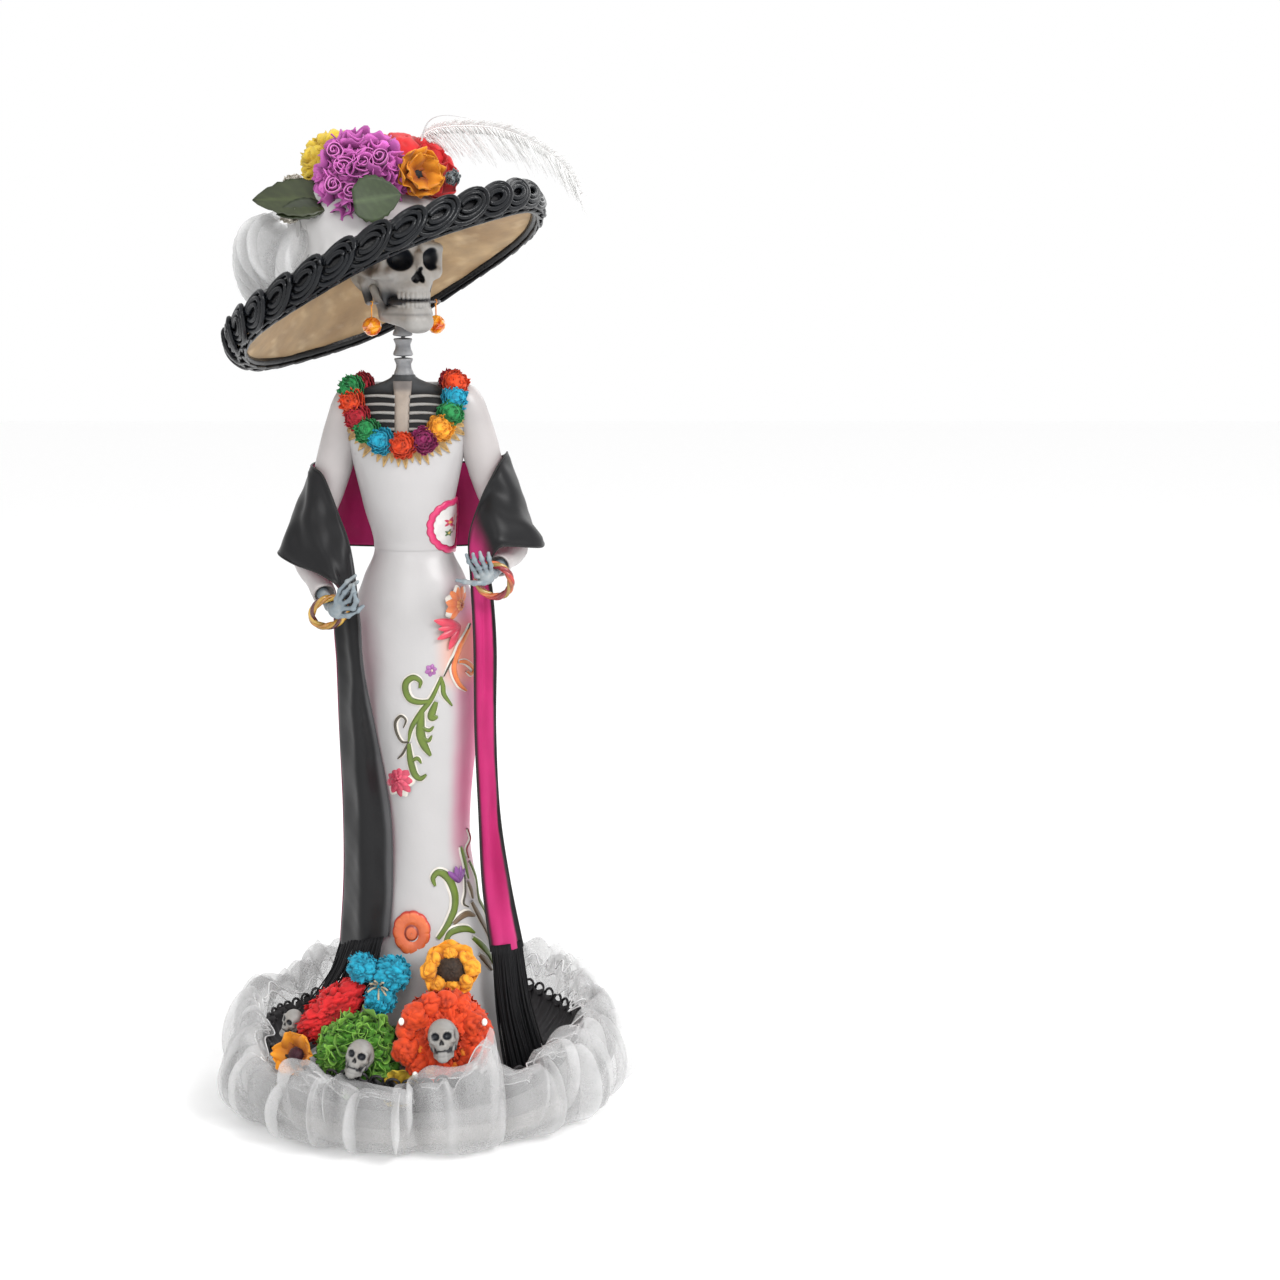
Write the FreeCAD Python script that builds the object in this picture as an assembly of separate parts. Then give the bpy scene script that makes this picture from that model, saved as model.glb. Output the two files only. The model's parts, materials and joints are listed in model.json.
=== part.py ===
import FreeCAD, Part
import math
import os

from FreeCAD import Placement, Rotation, Vector

# Papier-mache catrina figure: a skeleton lady in a long dress, a wide hat and a shawl.
# Millimetres, +Z up. The origin is the middle of the underside of the round base.
# The figure faces -Y. "right" and "left" are its own sides, so its right is at -X.

# ---- driving dimensions ---------------------------------------------------------------

FIT = 0.3                 # gap between pieces that move past each other
RUNNING_GAP = 0.05        # radial clearance of a pin in its hole
EGG_STEPS = 14            # bands along an egg-shaped piece
CUSHION_STEP = 30         # degrees between the bands of a cushion's edge

BASE_RADIUS = 118.0
BASE_HEIGHT = 12.0
SCREW_RADIUS = 2.0
SCREW_HEAD_RADIUS = 4.5
SCREW_HEAD_HEIGHT = 3.0
SCREW_TOP = 34.0
SCREW_SINK = 0.5          # the screw's head is sunk into the underside this far

POST_RADIUS = 6.0
POST_TOP = 520.0
POST_X = -2.0
WIRE_RADIUS = 1.5
WIRE_OVERRUN = 4.0        # of the arm's wire past the bangle's plane
# where the wires of the two arms end inside the chest
WIRE_ROOTS = {"right": Vector(-14, 0, 512), "left": Vector(10, 0, 512)}
NECK_WIRE_BOTTOM = 500.0
NECK_WIRE_TOP = 645.0

DRESS_WALL = 3.0
WAIST_Z = 436.0
# z, middle x, half width, half depth of the dress at heights from hem to waist
SKIRT_SECTIONS = [
    (12.0, 4.0, 112.0, 108.0),
    (22.0, 4.0, 96.0, 92.0),
    (40.0, 3.0, 76.0, 70.0),
    (70.0, 3.0, 60.0, 54.0),
    (118.0, 4.0, 52.0, 46.0),
    (162.0, 4.0, 41.0, 37.0),
    (212.0, 4.5, 34.0, 31.0),
    (316.0, 2.0, 45.0, 38.0),
    (378.0, -1.0, 49.0, 36.0),
    (412.0, -1.5, 38.5, 28.5),
    (436.0, -2.0, 29.0, 21.0),
]
# the same for the bodice, from waist to shoulders
TORSO_SECTIONS = [
    (436.0, -2.0, 29.0, 21.0),
    (471.0, -5.0, 34.5, 26.0),
    (496.0, -5.0, 40.0, 28.0),
    (524.0, -5.0, 46.0, 26.0),
    (547.0, -5.5, 50.0, 18.0),
    (560.0, -6.5, 42.0, 11.0),
]
NECKLINE_X = -6.5
NECKLINE_RADIUS = 38.0
NECKLINE_Z = 555.0
NECKLINE_REACH = 80.0     # how far in front of the figure the neckline is cut from
NECKLINE_BACK = 8.0       # and how far behind its middle
LACE_WIDTH = 12.0         # of the band below the neckline
LACE_RELIEF = 1.2
LACE_FOOT = 56.0          # below the middle of the neckline
LACE_RISE = 6.0           # its ends stay this far below the middle of the neckline

STERNUM_WIDTH = 15.0
STERNUM_BOTTOM = 515.0
RIB_HEIGHT = 3.0
RIB_PITCH = 7.2
RIB_TOP = 554.0
RIB_RELIEF = 1.6
RIB_COUNT = 5
RIB_DROOP = 4.0           # degrees of extra slope from one rib to the next
CHEST_REACH = 60.0        # more than the chest's depth and half width
PAINT_GAP = 0.05          # between the chest and the dress over it

NECK_X = -7.0
NECK_BOTTOM = 565.0
VERTEBRA_HEIGHT = 14.0
VERTEBRA_GAP = 0.8
VERTEBRA_RADIUS = 6.6
VERTEBRA_WAIST = 5.0
VERTEBRA_LIP = 1.8        # height of the ring at each end
VERTEBRA_COUNT = 3

HEAD_CENTRE = Vector(-10, 4, 650)
HEAD_TURN = -55.0         # degrees about +Z from +X to where the face looks
CRANIUM_LENGTH = 72.0
CRANIUM_WIDTH = 61.0
# places on the head: forward, to its left, up from its middle
CRANIUM_MIDDLE = Vector(-4, 0, 4)
FACE_MIDDLE = Vector(10, 0, -13)
FACE_RADIUS = 22.0
UPPER_JAW_MIDDLE = Vector(20, 0, -24)
UPPER_JAW_RADIUS = 12.5
EYE_MIDDLE = Vector(31, 12.5, 1)
EYE_RADIUS = 7.5
NOSE_BOTTOM = Vector(33, 0, -16)
NOSE_RADIUS = 4.5
NOSE_HEIGHT = 10.0
CHIN_FOOT = Vector(17, 0, -50)
CHIN_RADIUS = 16.5
CHIN_HEIGHT = 15.0
JAW_CORNER = Vector(13, 13, -42)
JAW_HINGE = Vector(4, 21, -20)
JAW_CORNER_RADIUS = 4.5
JAW_HINGE_RADIUS = 3.5
THROAT_FOOT = Vector(3.5, 0, -60)
THROAT_RADIUS = 10.0
THROAT_HEIGHT = 40.0
EAR_X = 7.5               # forward of the head's middle
EAR_Z = -30.0
EAR_SIDE = 27.5           # from the head's middle plane to the earring
EAR_PIN_RADIUS = 0.8
EAR_PIN_ROOT = 17.0       # from the middle plane to the pin's buried end
EAR_PIN_OVERRUN = 1.6     # past the middle of the earring's ring
EAR_STOPPER_RADIUS = 1.5
EAR_RING_WALL = 1.0
EAR_RING_LENGTH = 1.6
EARRING_DROP = 17.0
EARRING_BEAD_RADIUS = 7.0
EARRING_WIRE_RADIUS = 0.6

HAT_CENTRE = Vector(-16.7, 8, 630.6)
HAT_ROLL = 27.06          # the brim rises to the figure's left
HAT_PITCH = 10.43         # and to the front
HAT_SHELL = 2.4
HAT_COVER = 1.0
# radius and height of the hat's underside, from the brim's edge to the top of the crown
HAT_PROFILE = [(127, 0), (108, 5), (84, 17), (62, 34), (53, 52), (47, 73), (35, 82), (0, 84)]
# the braid round the brim: distance past the brim's edge and height above its underside
HAT_TRIM_OUTLINE = [(-3, -2), (2, -2.6), (6, 3), (6.5, 11), (3, 18), (-4, 21), (-10, 17), (-12, 8), (-12, 2)]
PEG_RADIUS = 4.0
PEG_START = 22.0          # from the middle of the head up to the foot of the peg
PEG_GAP = 1.2             # from the top of the peg to the crown
SOCKET_RADIUS = 8.0
SOCKET_DEPTH = 18.0
SOCKET_OVERRUN = 6.0      # trimmed off again where it meets the crown

SHOULDER_RADIUS = 14.0
ELBOW_RADIUS = 12.0
CUFF_RADIUS = 7.5
WRIST_RADIUS = 4.0
WRIST_OVERRUN = 6.0       # of the forearm bone past the bangle's plane
CUFF_SETBACK = 15.0       # from the bangle's plane back to the end of the sleeve
SHOULDERS = {"right": Vector(-49, 0, 541), "left": Vector(41, 0, 542)}
ELBOWS = {"right": Vector(-86, 8, 432), "left": Vector(75, 8, 437)}
WRISTS = {"right": Vector(-60, -52, 398), "left": Vector(62, -49, 422)}
PALMS = {"right": Vector(-53, -63, 396), "left": Vector(57, -62, 423)}
THUMB_TIPS = {"right": Vector(-34, -70, 399), "left": Vector(37, -68, 423)}
# the four finger tips, first the one beside the thumb
FINGER_TIPS = {
    "right": [(-41, -80, 400), (-40, -78, 406), (-42, -75, 411), (-46, -72, 414)],
    "left": [(45, -76, 434), (50, -77, 437), (55, -76, 438), (60, -74, 438)],
}
FINGER_RADIUS = 1.9
PALM_HALF_LENGTH = 9.5
PALM_RADIUS = 6.0

BANGLE_RADIUS = 13.0      # middle of the bangle's rod
BANGLE_ROD = 3.0

# radius and height of the net ruffle's and the lace frill's outlines
TULLE_PROFILE = [(121, 0.5), (149, 0.5), (157, 34), (152, 71), (139, 71), (127, 34)]
LACE_PROFILE = [(100, 26), (112, 16), (117, 12.2), (118, 30), (114, 50), (106, 48)]

SHAWL_THICKNESS = 1.2
# Points across the shawl, from its inner or upper edge to its outer or lower edge, going
# from the end at the figure's right over the arm, behind the back and down at the left.
SHAWL_ROWS = [
    ((-25, -52, 138), (-44, -42, 132), (-63, -12, 124)),
    ((-26, -50, 178), (-42, -42, 178), (-59, -12, 178)),
    ((-28, -46, 235), (-42, -40, 235), (-58, -14, 235)),
    ((-33, -47, 300), (-44, -42, 300), (-59, -18, 300)),
    ((-37, -45, 350), (-46, -40, 350), (-59, -24, 350)),
    ((-40, -38, 388), (-50, -33, 386), (-60, -26, 384)),
    ((-46, -32, 436), (-52, -42, 420), (-53, -46, 409)),
    ((-56, -24, 464), (-65, -36, 440), (-67, -46, 421)),
    ((-67, -16, 490), (-80, -26, 458), (-89, -28, 426)),
    ((-80, -8, 498), (-94, -14, 465), (-101, -16, 430)),
    ((-85, 6, 499), (-100, 8, 466), (-104, 10, 432)),
    ((-79, 24, 498), (-95, 26, 466), (-101, 28, 434)),
    ((-58, 38, 496), (-64, 42, 463), (-69, 42, 431)),
    ((-25, 40, 495), (-26, 42, 463), (-28, 42, 430)),
    ((14, 40, 495), (14, 42, 463), (15, 42, 430)),
    ((45, 38, 497), (48, 42, 464), (51, 42, 432)),
    ((70, 24, 502), (79, 28, 470), (84, 30, 439)),
    ((78, 6, 506), (89, 8, 472), (95, 10, 440)),
    ((74, -8, 503), (85, -16, 470), (94, -18, 440)),
    ((66, -18, 493), (74, -30, 464), (80, -36, 437)),
    ((57, -26, 472), (61, -38, 454), (65, -46, 440)),
    ((50, -30, 440), (54, -37, 430), (57, -40, 424)),
    ((47, -32, 416), (54, -33, 410), (61, -33, 404)),
    ((46, -36, 370), (54, -34, 366), (62, -30, 362)),
    ((46, -36, 300), (54, -34, 300), (61, -30, 300)),
    ((48, -34, 235), (56, -32, 235), (63, -26, 235)),
    ((50, -34, 180), (60, -32, 180), (70, -24, 180)),
    ((56, -36, 125), (68, -34, 125), (80, -22, 125)),
]
# threads that hang from the two ends of the shawl, top row to bottom row
FRINGE_ROWS = {
    "right": [
        ((-26, -53, 136), (-44, -43, 130), (-63, -12, 122)),
        ((-34, -62, 112), (-54, -50, 108), (-70, -18, 104)),
        ((-60, -56, 84), (-74, -50, 80), (-84, -26, 78)),
    ],
    "left": [
        ((56, -37, 123), (68, -34, 123), (80, -22, 123)),
        ((62, -42, 80), (72, -40, 80), (84, -26, 80)),
        ((72, -52, 28), (84, -46, 27), (96, -30, 27)),
    ],
}
FRINGE_THICKNESS = 2.4

MEDALLION = Vector(25, -10, 455)
MEDALLION_FACING = Vector(0.833, -0.553, 0)
MEDALLION_RADIUS = 20.5
MEDALLION_RIM = 4.5
MEDALLION_RELIEF = 1.5

ROSE_RADIUS = 9.5
ROSE_DEPTH = 6.5
GARLAND_OUTSET = 3.0      # of the roses' circle from the neckline's
GARLAND_RISE = 1.0
ROSE_TILT = 0.25          # upward share of where a rose faces
ROSE_SPREAD = 0.012       # sideways share for each millimetre from the middle
# colour of each garland rose and its angle round the neckline, from the figure's right
GARLAND = [
    ("green", 176), ("orange", 193), ("red", 210), ("green", 228), ("blue", 247), ("orange", 271),
    ("magenta", 295), ("yellow", 316), ("green", 335), ("blue", 352), ("orange", 370),
]
# roses that sit behind the garland on each shoulder
SHOULDER_ROSES = [("red", Vector(-38, 6, 565)), ("red", Vector(28, 8, 570))]

# flowers piled on the base: node, middle, facing, radius, half thickness
BASE_FLOWERS = [
    ("flower_orange", Vector(23, -92, 76), Vector(0.1, -1, 0.35), 37, 22),
    ("flower_green", Vector(-42, -90, 62), Vector(-0.2, -1, 0.4), 32, 20),
    ("flower_blue", Vector(-27, -66, 116), Vector(-0.1, -1, 0.4), 26, 15),
    ("flower_yellow", Vector(27, -64, 120), Vector(0.15, -1, 0.35), 22, 10),
    ("flower_red", Vector(-68, -62, 84), Vector(-0.6, -1, 0.5), 25, 16),
    ("flowers_small", Vector(-88, -76, 54), Vector(-0.5, -1, 0.5), 14, 8),
    ("flowers_small", Vector(-9, -108, 41), Vector(0, -1, 0.4), 14, 7.5),
]
ROSETTE_X = -4.0
ROSETTE_Z = 144.0
ROSETTE_RADIUS = 17.0
ROSETTE_DEPTH = 3.5
ROSETTE_FACING = Vector(0, -1, 0.1)
# small skulls set in the flowers: middle and facing
MINI_SKULLS = {
    "mini_skull_orange": (Vector(25, -117, 84), Vector(0.1, -1, 0.1)),
    "mini_skull_green": (Vector(-38, -113, 68), Vector(0.1, -1, 0.3)),
    "mini_skull_side": (Vector(-94, -58, 76), Vector(-0.8, -0.7, 0.2)),
}
MINI_SKULL_HEIGHT = 25.0
MINI_SKULL_WIDTH = 19.0
MINI_SKULL_PROUD = 1.0

# flowers on the hat: middle, facing, radius, half thickness
HAT_FLOWERS = {
    "hat_flower_purple": (Vector(-30, -24, 712), Vector(-0.1, -1, 0.35), 33, 22),
    "hat_flower_yellow": (Vector(-60, 10, 727), Vector(-0.5, -0.4, 0.8), 25, 17),
    "hat_flower_red": (Vector(0, 14, 730), Vector(0.3, -0.4, 0.9), 30, 17),
    "hat_flower_orange": (Vector(12, -22, 716), Vector(0.45, -1, 0.3), 22, 13),
}
# leaves on the hat: root, tip, half width
HAT_LEAVES = [
    (Vector(-66, -20, 696), Vector(-110, -30, 698), 12),
    (Vector(-38, -46, 694), Vector(-2, -56, 704), 10),
]
LEAF_UP = Vector(0, -0.5, 1)
LEAF_THICKNESS = 1.2
# how far along the leaf, and its width there as a share of the widest
LEAF_OUTLINE = [(0.0, 0.15), (0.25, 0.8), (0.55, 1.0), (0.8, 0.6), (1.0, 0.1)]
HAT_BUDS = [Vector(-86, -6, 712), Vector(-84, -26, 688), Vector(34, -22, 712)]
BUD_RADIUS = 5.5
# quill of the feather: middle of the vane and half its width
FEATHER_ROWS = [
    (Vector(0, 6, 728), 3),
    (Vector(12, 10, 745), 7),
    (Vector(34, 16, 750), 9),
    (Vector(66, 22, 748), 12),
    (Vector(96, 28, 735), 13),
    (Vector(118, 32, 716), 11),
    (Vector(127, 35, 698), 5),
]
FEATHER_THICKNESS = 1.6
FEATHER_UP = Vector(0.2, -0.5, 1)
HAT_TULLE_PROFILE = [(76, 26), (104, 8), (112, 20), (119, 48), (104, 64), (88, 54)]
HAT_TULLE_START = 120.0
HAT_TULLE_SWEEP = 95.0


# ---- shapes ---------------------------------------------------------------------------

def ellipse_wire(z, middle_x, half_width, half_depth):
    curve = Part.Ellipse(Vector(middle_x, 0, z), half_width, half_depth)
    return Part.Wire(curve.toShape())


def lofted(sections, grow, overrun=0.0):
    """Solid through the sections, each grown by `grow`, a little longer at both ends."""
    wires = []
    for index, (z, middle_x, half_width, half_depth) in enumerate(sections):
        if index == 0:
            z -= overrun
        if index == len(sections) - 1:
            z += overrun
        wires.append(ellipse_wire(z, middle_x, half_width + grow, half_depth + grow))
    return Part.makeLoft(wires, True, True)


def surface_y(sections, x, z):
    """Front of the lofted dress at a place (x, z)."""
    for low, high in zip(sections, sections[1:]):
        if low[0] <= z <= high[0]:
            share = (z - low[0]) / (high[0] - low[0])
            middle_x, width, depth = [a + (b - a) * share for a, b in zip(low[1:], high[1:])]
            across = min(1.0, abs(x - middle_x) / width)
            return -depth * math.sqrt(1.0 - across * across)
    return 0.0


def facing_rotation(facing):
    return Rotation(Vector(0, 0, 1), facing)


def egg(centre, long_half, radius, facing=Vector(1, 0, 0)):
    """Ball stretched along `facing`."""
    outline = []
    for step in range(EGG_STEPS + 1):
        turn = math.pi * step / EGG_STEPS
        outline.append((radius * math.sin(turn), -long_half * math.cos(turn)))
    outline[0] = (0.0, -long_half)
    outline[-1] = (0.0, long_half)
    ball = revolved(outline)
    ball.Placement = Placement(centre, facing_rotation(facing))
    return ball


def blossom(centre, facing, radius, depth):
    """Round cushion: a disc with a half-round edge."""
    flat = radius - depth
    outline = [(0.0, -depth)]
    for turn in range(-90, 91, CUSHION_STEP):
        outline.append((flat + depth * math.cos(math.radians(turn)), depth * math.sin(math.radians(turn))))
    outline.append((0.0, depth))
    cushion = revolved(outline)
    cushion.Placement = Placement(centre, facing_rotation(facing))
    return cushion


def revolved(profile, angle=360.0):
    points = [Vector(r, 0, z) for r, z in profile]
    face = Part.Face(Part.makePolygon(points + [points[0]]))
    return face.revolve(Vector(0, 0, 0), Vector(0, 0, 1), angle)


def limb(start, end, start_radius, end_radius):
    """Round bar that tapers between two rounded ends."""
    axis = end - start
    if abs(start_radius - end_radius) < 0.01:
        bar = Part.makeCylinder(start_radius, axis.Length, start, axis)
    else:
        bar = Part.makeCone(start_radius, end_radius, axis.Length, start, axis)
    balls = [Part.makeSphere(start_radius, start), Part.makeSphere(end_radius, end)]
    return bar.fuse(balls).removeSplitter()


def finger(root, tip):
    """Tapered finger bone with a small knob at its tip."""
    axis = tip - root
    bone = Part.makeCone(FINGER_RADIUS + 0.4, FINGER_RADIUS - 0.2, axis.Length, root, axis)
    return bone.fuse(Part.makeSphere(FINGER_RADIUS, tip))


def rod(start, end, radius):
    axis = end - start
    return Part.makeCylinder(radius, axis.Length, start, axis)


def wire_through(points, radius):
    shape = rod(points[0], points[1], radius)
    for start, end in zip(points[1:], points[2:]):
        shape = shape.fuse([Part.makeSphere(radius, start), rod(start, end, radius)])
    return shape


def sheet_solid(rows, thickness):
    """Closed slab of cloth that follows a grid of points."""
    grid = [[Vector(*point) for point in row] for row in rows]
    last_row = len(grid) - 1
    last_col = len(grid[0]) - 1

    def normal(i, j):
        along = grid[min(i + 1, last_row)][j] - grid[max(i - 1, 0)][j]
        across = grid[i][min(j + 1, last_col)] - grid[i][max(j - 1, 0)]
        return along.cross(across).normalize()

    front = [[grid[i][j] + normal(i, j) * (thickness / 2) for j in range(last_col + 1)]
             for i in range(last_row + 1)]
    back = [[grid[i][j] - normal(i, j) * (thickness / 2) for j in range(last_col + 1)]
            for i in range(last_row + 1)]
    faces = []

    def quad(a, b, c, d):
        for corners in ((a, b, c), (a, c, d)):
            faces.append(Part.Face(Part.makePolygon(list(corners) + [corners[0]])))

    for i in range(last_row):
        for j in range(last_col):
            quad(front[i][j], front[i + 1][j], front[i + 1][j + 1], front[i][j + 1])
            quad(back[i][j], back[i][j + 1], back[i + 1][j + 1], back[i + 1][j])
        for j in (0, last_col):
            quad(front[i][j], back[i][j], back[i + 1][j], front[i + 1][j])
    for j in range(last_col):
        for i in (0, last_row):
            quad(front[i][j], front[i][j + 1], back[i][j + 1], back[i][j])
    shell = Part.makeShell(faces)
    shell.sewShape()
    solid = Part.makeSolid(shell)
    if solid.Volume < 0:
        solid.reverse()
    return solid


def leaf(root, tip, half_width):
    """Flat pointed leaf from root to tip."""
    along = tip - root
    side = along.cross(LEAF_UP).normalize() * half_width
    rows = []
    for share, width in LEAF_OUTLINE:
        middle = root + along * share
        rows.append((middle - side * width, middle, middle + side * width))
    return sheet_solid(rows, LEAF_THICKNESS)


def without(shape, neighbours):
    """Shape with its neighbours' space cut away; scraps that fall off are dropped."""
    for other in neighbours:
        if shape.BoundBox.intersect(other.BoundBox):
            shape = shape.cut(other)
    return max(shape.Solids, key=lambda solid: solid.Volume)


def head_place(x, y, z):
    """Point given forward, to the figure's left and up from the middle of the head."""
    return HEAD_CENTRE + Rotation(Vector(0, 0, 1), HEAD_TURN).multVec(Vector(x, y, z))


def in_head(shape):
    head = Placement(HEAD_CENTRE, Rotation(Vector(0, 0, 1), HEAD_TURN))
    shape.Placement = head.multiply(shape.Placement)
    return shape


def to_side(place, side):
    """Place mirrored to the figure's right when side is -1."""
    return Vector(place.x, side * place.y, place.z)


def hat_rotation():
    roll = Rotation(Vector(0, 1, 0), -HAT_ROLL)
    return roll.multiply(Rotation(Vector(1, 0, 0), -HAT_PITCH))


def in_hat(shape):
    shape.Placement = Placement(HAT_CENTRE, hat_rotation()).multiply(shape.Placement)
    return shape


def offset_profile(profile, distance):
    """Profile moved outwards, square to itself."""
    moved = []
    for index, (r, z) in enumerate(profile):
        before = profile[max(index - 1, 0)]
        after = profile[min(index + 1, len(profile) - 1)]
        run = (after[0] - before[0], after[1] - before[1])
        length = math.hypot(run[0], run[1])
        moved.append((max(r + run[1] / length * distance, 0.0), z - run[0] / length * distance))
    moved[-1] = (0.0, profile[-1][1] + distance)
    return moved


# ---- the figure -----------------------------------------------------------------------

def base_parts():
    board = Part.makeCylinder(BASE_RADIUS, BASE_HEIGHT)
    foot = Vector(POST_X, 0, SCREW_SINK)
    head = Part.makeCone(SCREW_HEAD_RADIUS, SCREW_RADIUS, SCREW_HEAD_HEIGHT, foot)
    shank = Part.makeCylinder(SCREW_RADIUS, SCREW_TOP - SCREW_SINK, foot)
    screw = head.fuse(shank).removeSplitter()
    mouth = Part.makeCylinder(SCREW_HEAD_RADIUS, SCREW_SINK, Vector(POST_X, 0, 0))
    board = board.cut(screw).cut(mouth)
    post = Part.makeCylinder(POST_RADIUS, POST_TOP - BASE_HEIGHT, Vector(POST_X, 0, BASE_HEIGHT))
    post = post.cut(screw)
    return {
        "base_board": board,
        "base_screw": screw,
        "core_post": post,
        "hem_lace": revolved(LACE_PROFILE),
        "tulle_ruffle": revolved(TULLE_PROFILE),
    }


def neckline_cutter():
    """Round scoop, open at the top, through the front of the bodice."""
    middle = Vector(NECKLINE_X, -NECKLINE_REACH, NECKLINE_Z)
    length = NECKLINE_REACH + NECKLINE_BACK
    scoop = Part.makeCylinder(NECKLINE_RADIUS, length, middle, Vector(0, 1, 0))
    corner = middle - Vector(NECKLINE_RADIUS, 0, 0)
    above = Part.makeBox(2 * NECKLINE_RADIUS, length, NECKLINE_RADIUS, corner)
    return scoop.fuse(above)


def dress_parts():
    skirt = lofted(SKIRT_SECTIONS, 0.0).cut(lofted(SKIRT_SECTIONS, -DRESS_WALL, 1.0))
    bodice = lofted(TORSO_SECTIONS, 0.0).cut(lofted(TORSO_SECTIONS, -DRESS_WALL, 1.0)).cut(neckline_cutter())
    return {"skirt": skirt, "bodice": bodice}


def chest_parts(armature):
    """The black chest under the dress, with the breastbone and the ribs raised on its front."""
    sections = TORSO_SECTIONS[1:]
    under_dress = -DRESS_WALL - PAINT_GAP
    chest = without(lofted(sections, under_dress), armature)
    skin = lofted(sections, RIB_RELIEF - DRESS_WALL).cut(lofted(sections, under_dress, 1.0))
    skin = skin.common(neckline_cutter())
    corner = Vector(NECKLINE_X - NECKLINE_RADIUS, -CHEST_REACH, sections[0][0])
    height = NECK_BOTTOM - sections[0][0]
    skin = skin.common(Part.makeBox(2 * NECKLINE_RADIUS, CHEST_REACH, height, corner))
    corner = Vector(NECK_X - STERNUM_WIDTH / 2, -CHEST_REACH, STERNUM_BOTTOM)
    plate = Part.makeBox(STERNUM_WIDTH, CHEST_REACH, NECK_BOTTOM - STERNUM_BOTTOM, corner)
    sternum = skin.common(plate).Solids[0]
    bars = []
    for number in range(RIB_COUNT):
        for side in (-1, 1):
            corner = Vector(0, -CHEST_REACH, -RIB_HEIGHT / 2)
            bar = Part.makeBox(CHEST_REACH, CHEST_REACH, RIB_HEIGHT, corner)
            if side < 0:
                bar = bar.mirror(Vector(0, 0, 0), Vector(1, 0, 0))
            bar.rotate(Vector(0, 0, 0), Vector(0, 1, 0), side * RIB_DROOP * (1 - number))
            bar.translate(Vector(NECK_X + side * STERNUM_WIDTH / 2, 0, RIB_TOP - number * RIB_PITCH))
            bars.append(skin.common(bar).cut(plate).Solids[0])
    return {"chest": chest, "sternum": sternum, "ribs": Part.makeCompound(bars)}


def neck_parts(wire):
    nodes = {}
    step = VERTEBRA_HEIGHT + VERTEBRA_GAP
    for number in range(VERTEBRA_COUNT):
        bottom = NECK_BOTTOM + number * step
        high = VERTEBRA_HEIGHT
        outline = [
            (0, 0),
            (VERTEBRA_RADIUS, 0),
            (VERTEBRA_RADIUS, VERTEBRA_LIP),
            (VERTEBRA_WAIST, high * 0.4),
            (VERTEBRA_WAIST, high * 0.7),
            (VERTEBRA_RADIUS, high - VERTEBRA_LIP),
            (VERTEBRA_RADIUS, high),
            (0, high),
        ]
        bone = revolved(outline)
        bone.translate(Vector(NECK_X, 0, bottom))
        nodes["vertebra_%d" % (number + 1)] = without(bone, [wire])
    return nodes


def head_parts(wire, peg):
    """Skull, jaw, ear pins and earrings, with the face turned to the figure's right."""
    cranium = egg(CRANIUM_MIDDLE, CRANIUM_LENGTH / 2, CRANIUM_WIDTH / 2)
    face = Part.makeSphere(FACE_RADIUS, FACE_MIDDLE)
    upper_jaw = Part.makeSphere(UPPER_JAW_RADIUS, UPPER_JAW_MIDDLE)
    skull = cranium.fuse([face, upper_jaw])
    jaw = Part.makeCylinder(CHIN_RADIUS, CHIN_HEIGHT, CHIN_FOOT)
    for side in (-1, 1):
        skull = skull.cut(Part.makeSphere(EYE_RADIUS, to_side(EYE_MIDDLE, side)))
        corner = to_side(JAW_CORNER, side)
        hinge = to_side(JAW_HINGE, side)
        jaw = jaw.fuse(limb(corner, hinge, JAW_CORNER_RADIUS, JAW_HINGE_RADIUS))
    skull = skull.cut(Part.makeCone(NOSE_RADIUS, 1.0, NOSE_HEIGHT, NOSE_BOTTOM))
    # opening of the jaw behind the chin, where the neck goes through
    jaw = jaw.cut(Part.makeCylinder(THROAT_RADIUS, THROAT_HEIGHT, THROAT_FOOT))
    skull = in_head(skull)
    jaw = in_head(jaw)
    skull = without(skull, [wire, peg])
    jaw = without(jaw, [skull])
    nodes = {"skull": skull, "jaw": jaw}
    pins = []
    for name, side in (("right", -1), ("left", 1)):
        root = head_place(EAR_X, side * EAR_PIN_ROOT, EAR_Z)
        end = head_place(EAR_X, side * (EAR_SIDE + EAR_PIN_OVERRUN), EAR_Z)
        pin = rod(root, end, EAR_PIN_RADIUS)
        stopper = Part.makeSphere(EAR_STOPPER_RADIUS, end + (end - root).normalize())
        pin = pin.fuse(stopper).removeSplitter()
        nodes["skull"] = without(nodes["skull"], [pin])
        nodes["jaw"] = without(nodes["jaw"], [pin])
        pins.append(pin)
        nodes["earring_" + name] = earring(side)
    nodes["ear_pins"] = Part.makeCompound(pins)
    return nodes


def earring(side):
    """Faceted bead that hangs from a small ring round the ear pin."""
    across = head_place(0, side, 0) - HEAD_CENTRE
    middle = head_place(EAR_X, side * EAR_SIDE, EAR_Z)
    hole = EAR_PIN_RADIUS + RUNNING_GAP
    start = middle - across * (EAR_RING_LENGTH / 2)
    ring = Part.makeCylinder(hole + EAR_RING_WALL, EAR_RING_LENGTH, start, across)
    ring = ring.cut(Part.makeCylinder(hole, 2 * EAR_RING_LENGTH, start - across, across))
    top = middle - Vector(0, 0, hole + 0.5)
    bottom = middle - Vector(0, 0, EARRING_DROP)
    radius = EARRING_BEAD_RADIUS
    shoulder = (radius * 0.55, radius * 0.8)
    outline = [(0, -radius), (shoulder[0], -shoulder[1]), (radius, 0), shoulder, (0, radius)]
    bead = revolved(outline)
    bead.translate(bottom)
    return ring.fuse([rod(bottom, top, EARRING_WIRE_RADIUS), bead]).removeSplitter()


def hat_axis():
    return hat_rotation().multVec(Vector(0, 0, 1))


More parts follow.
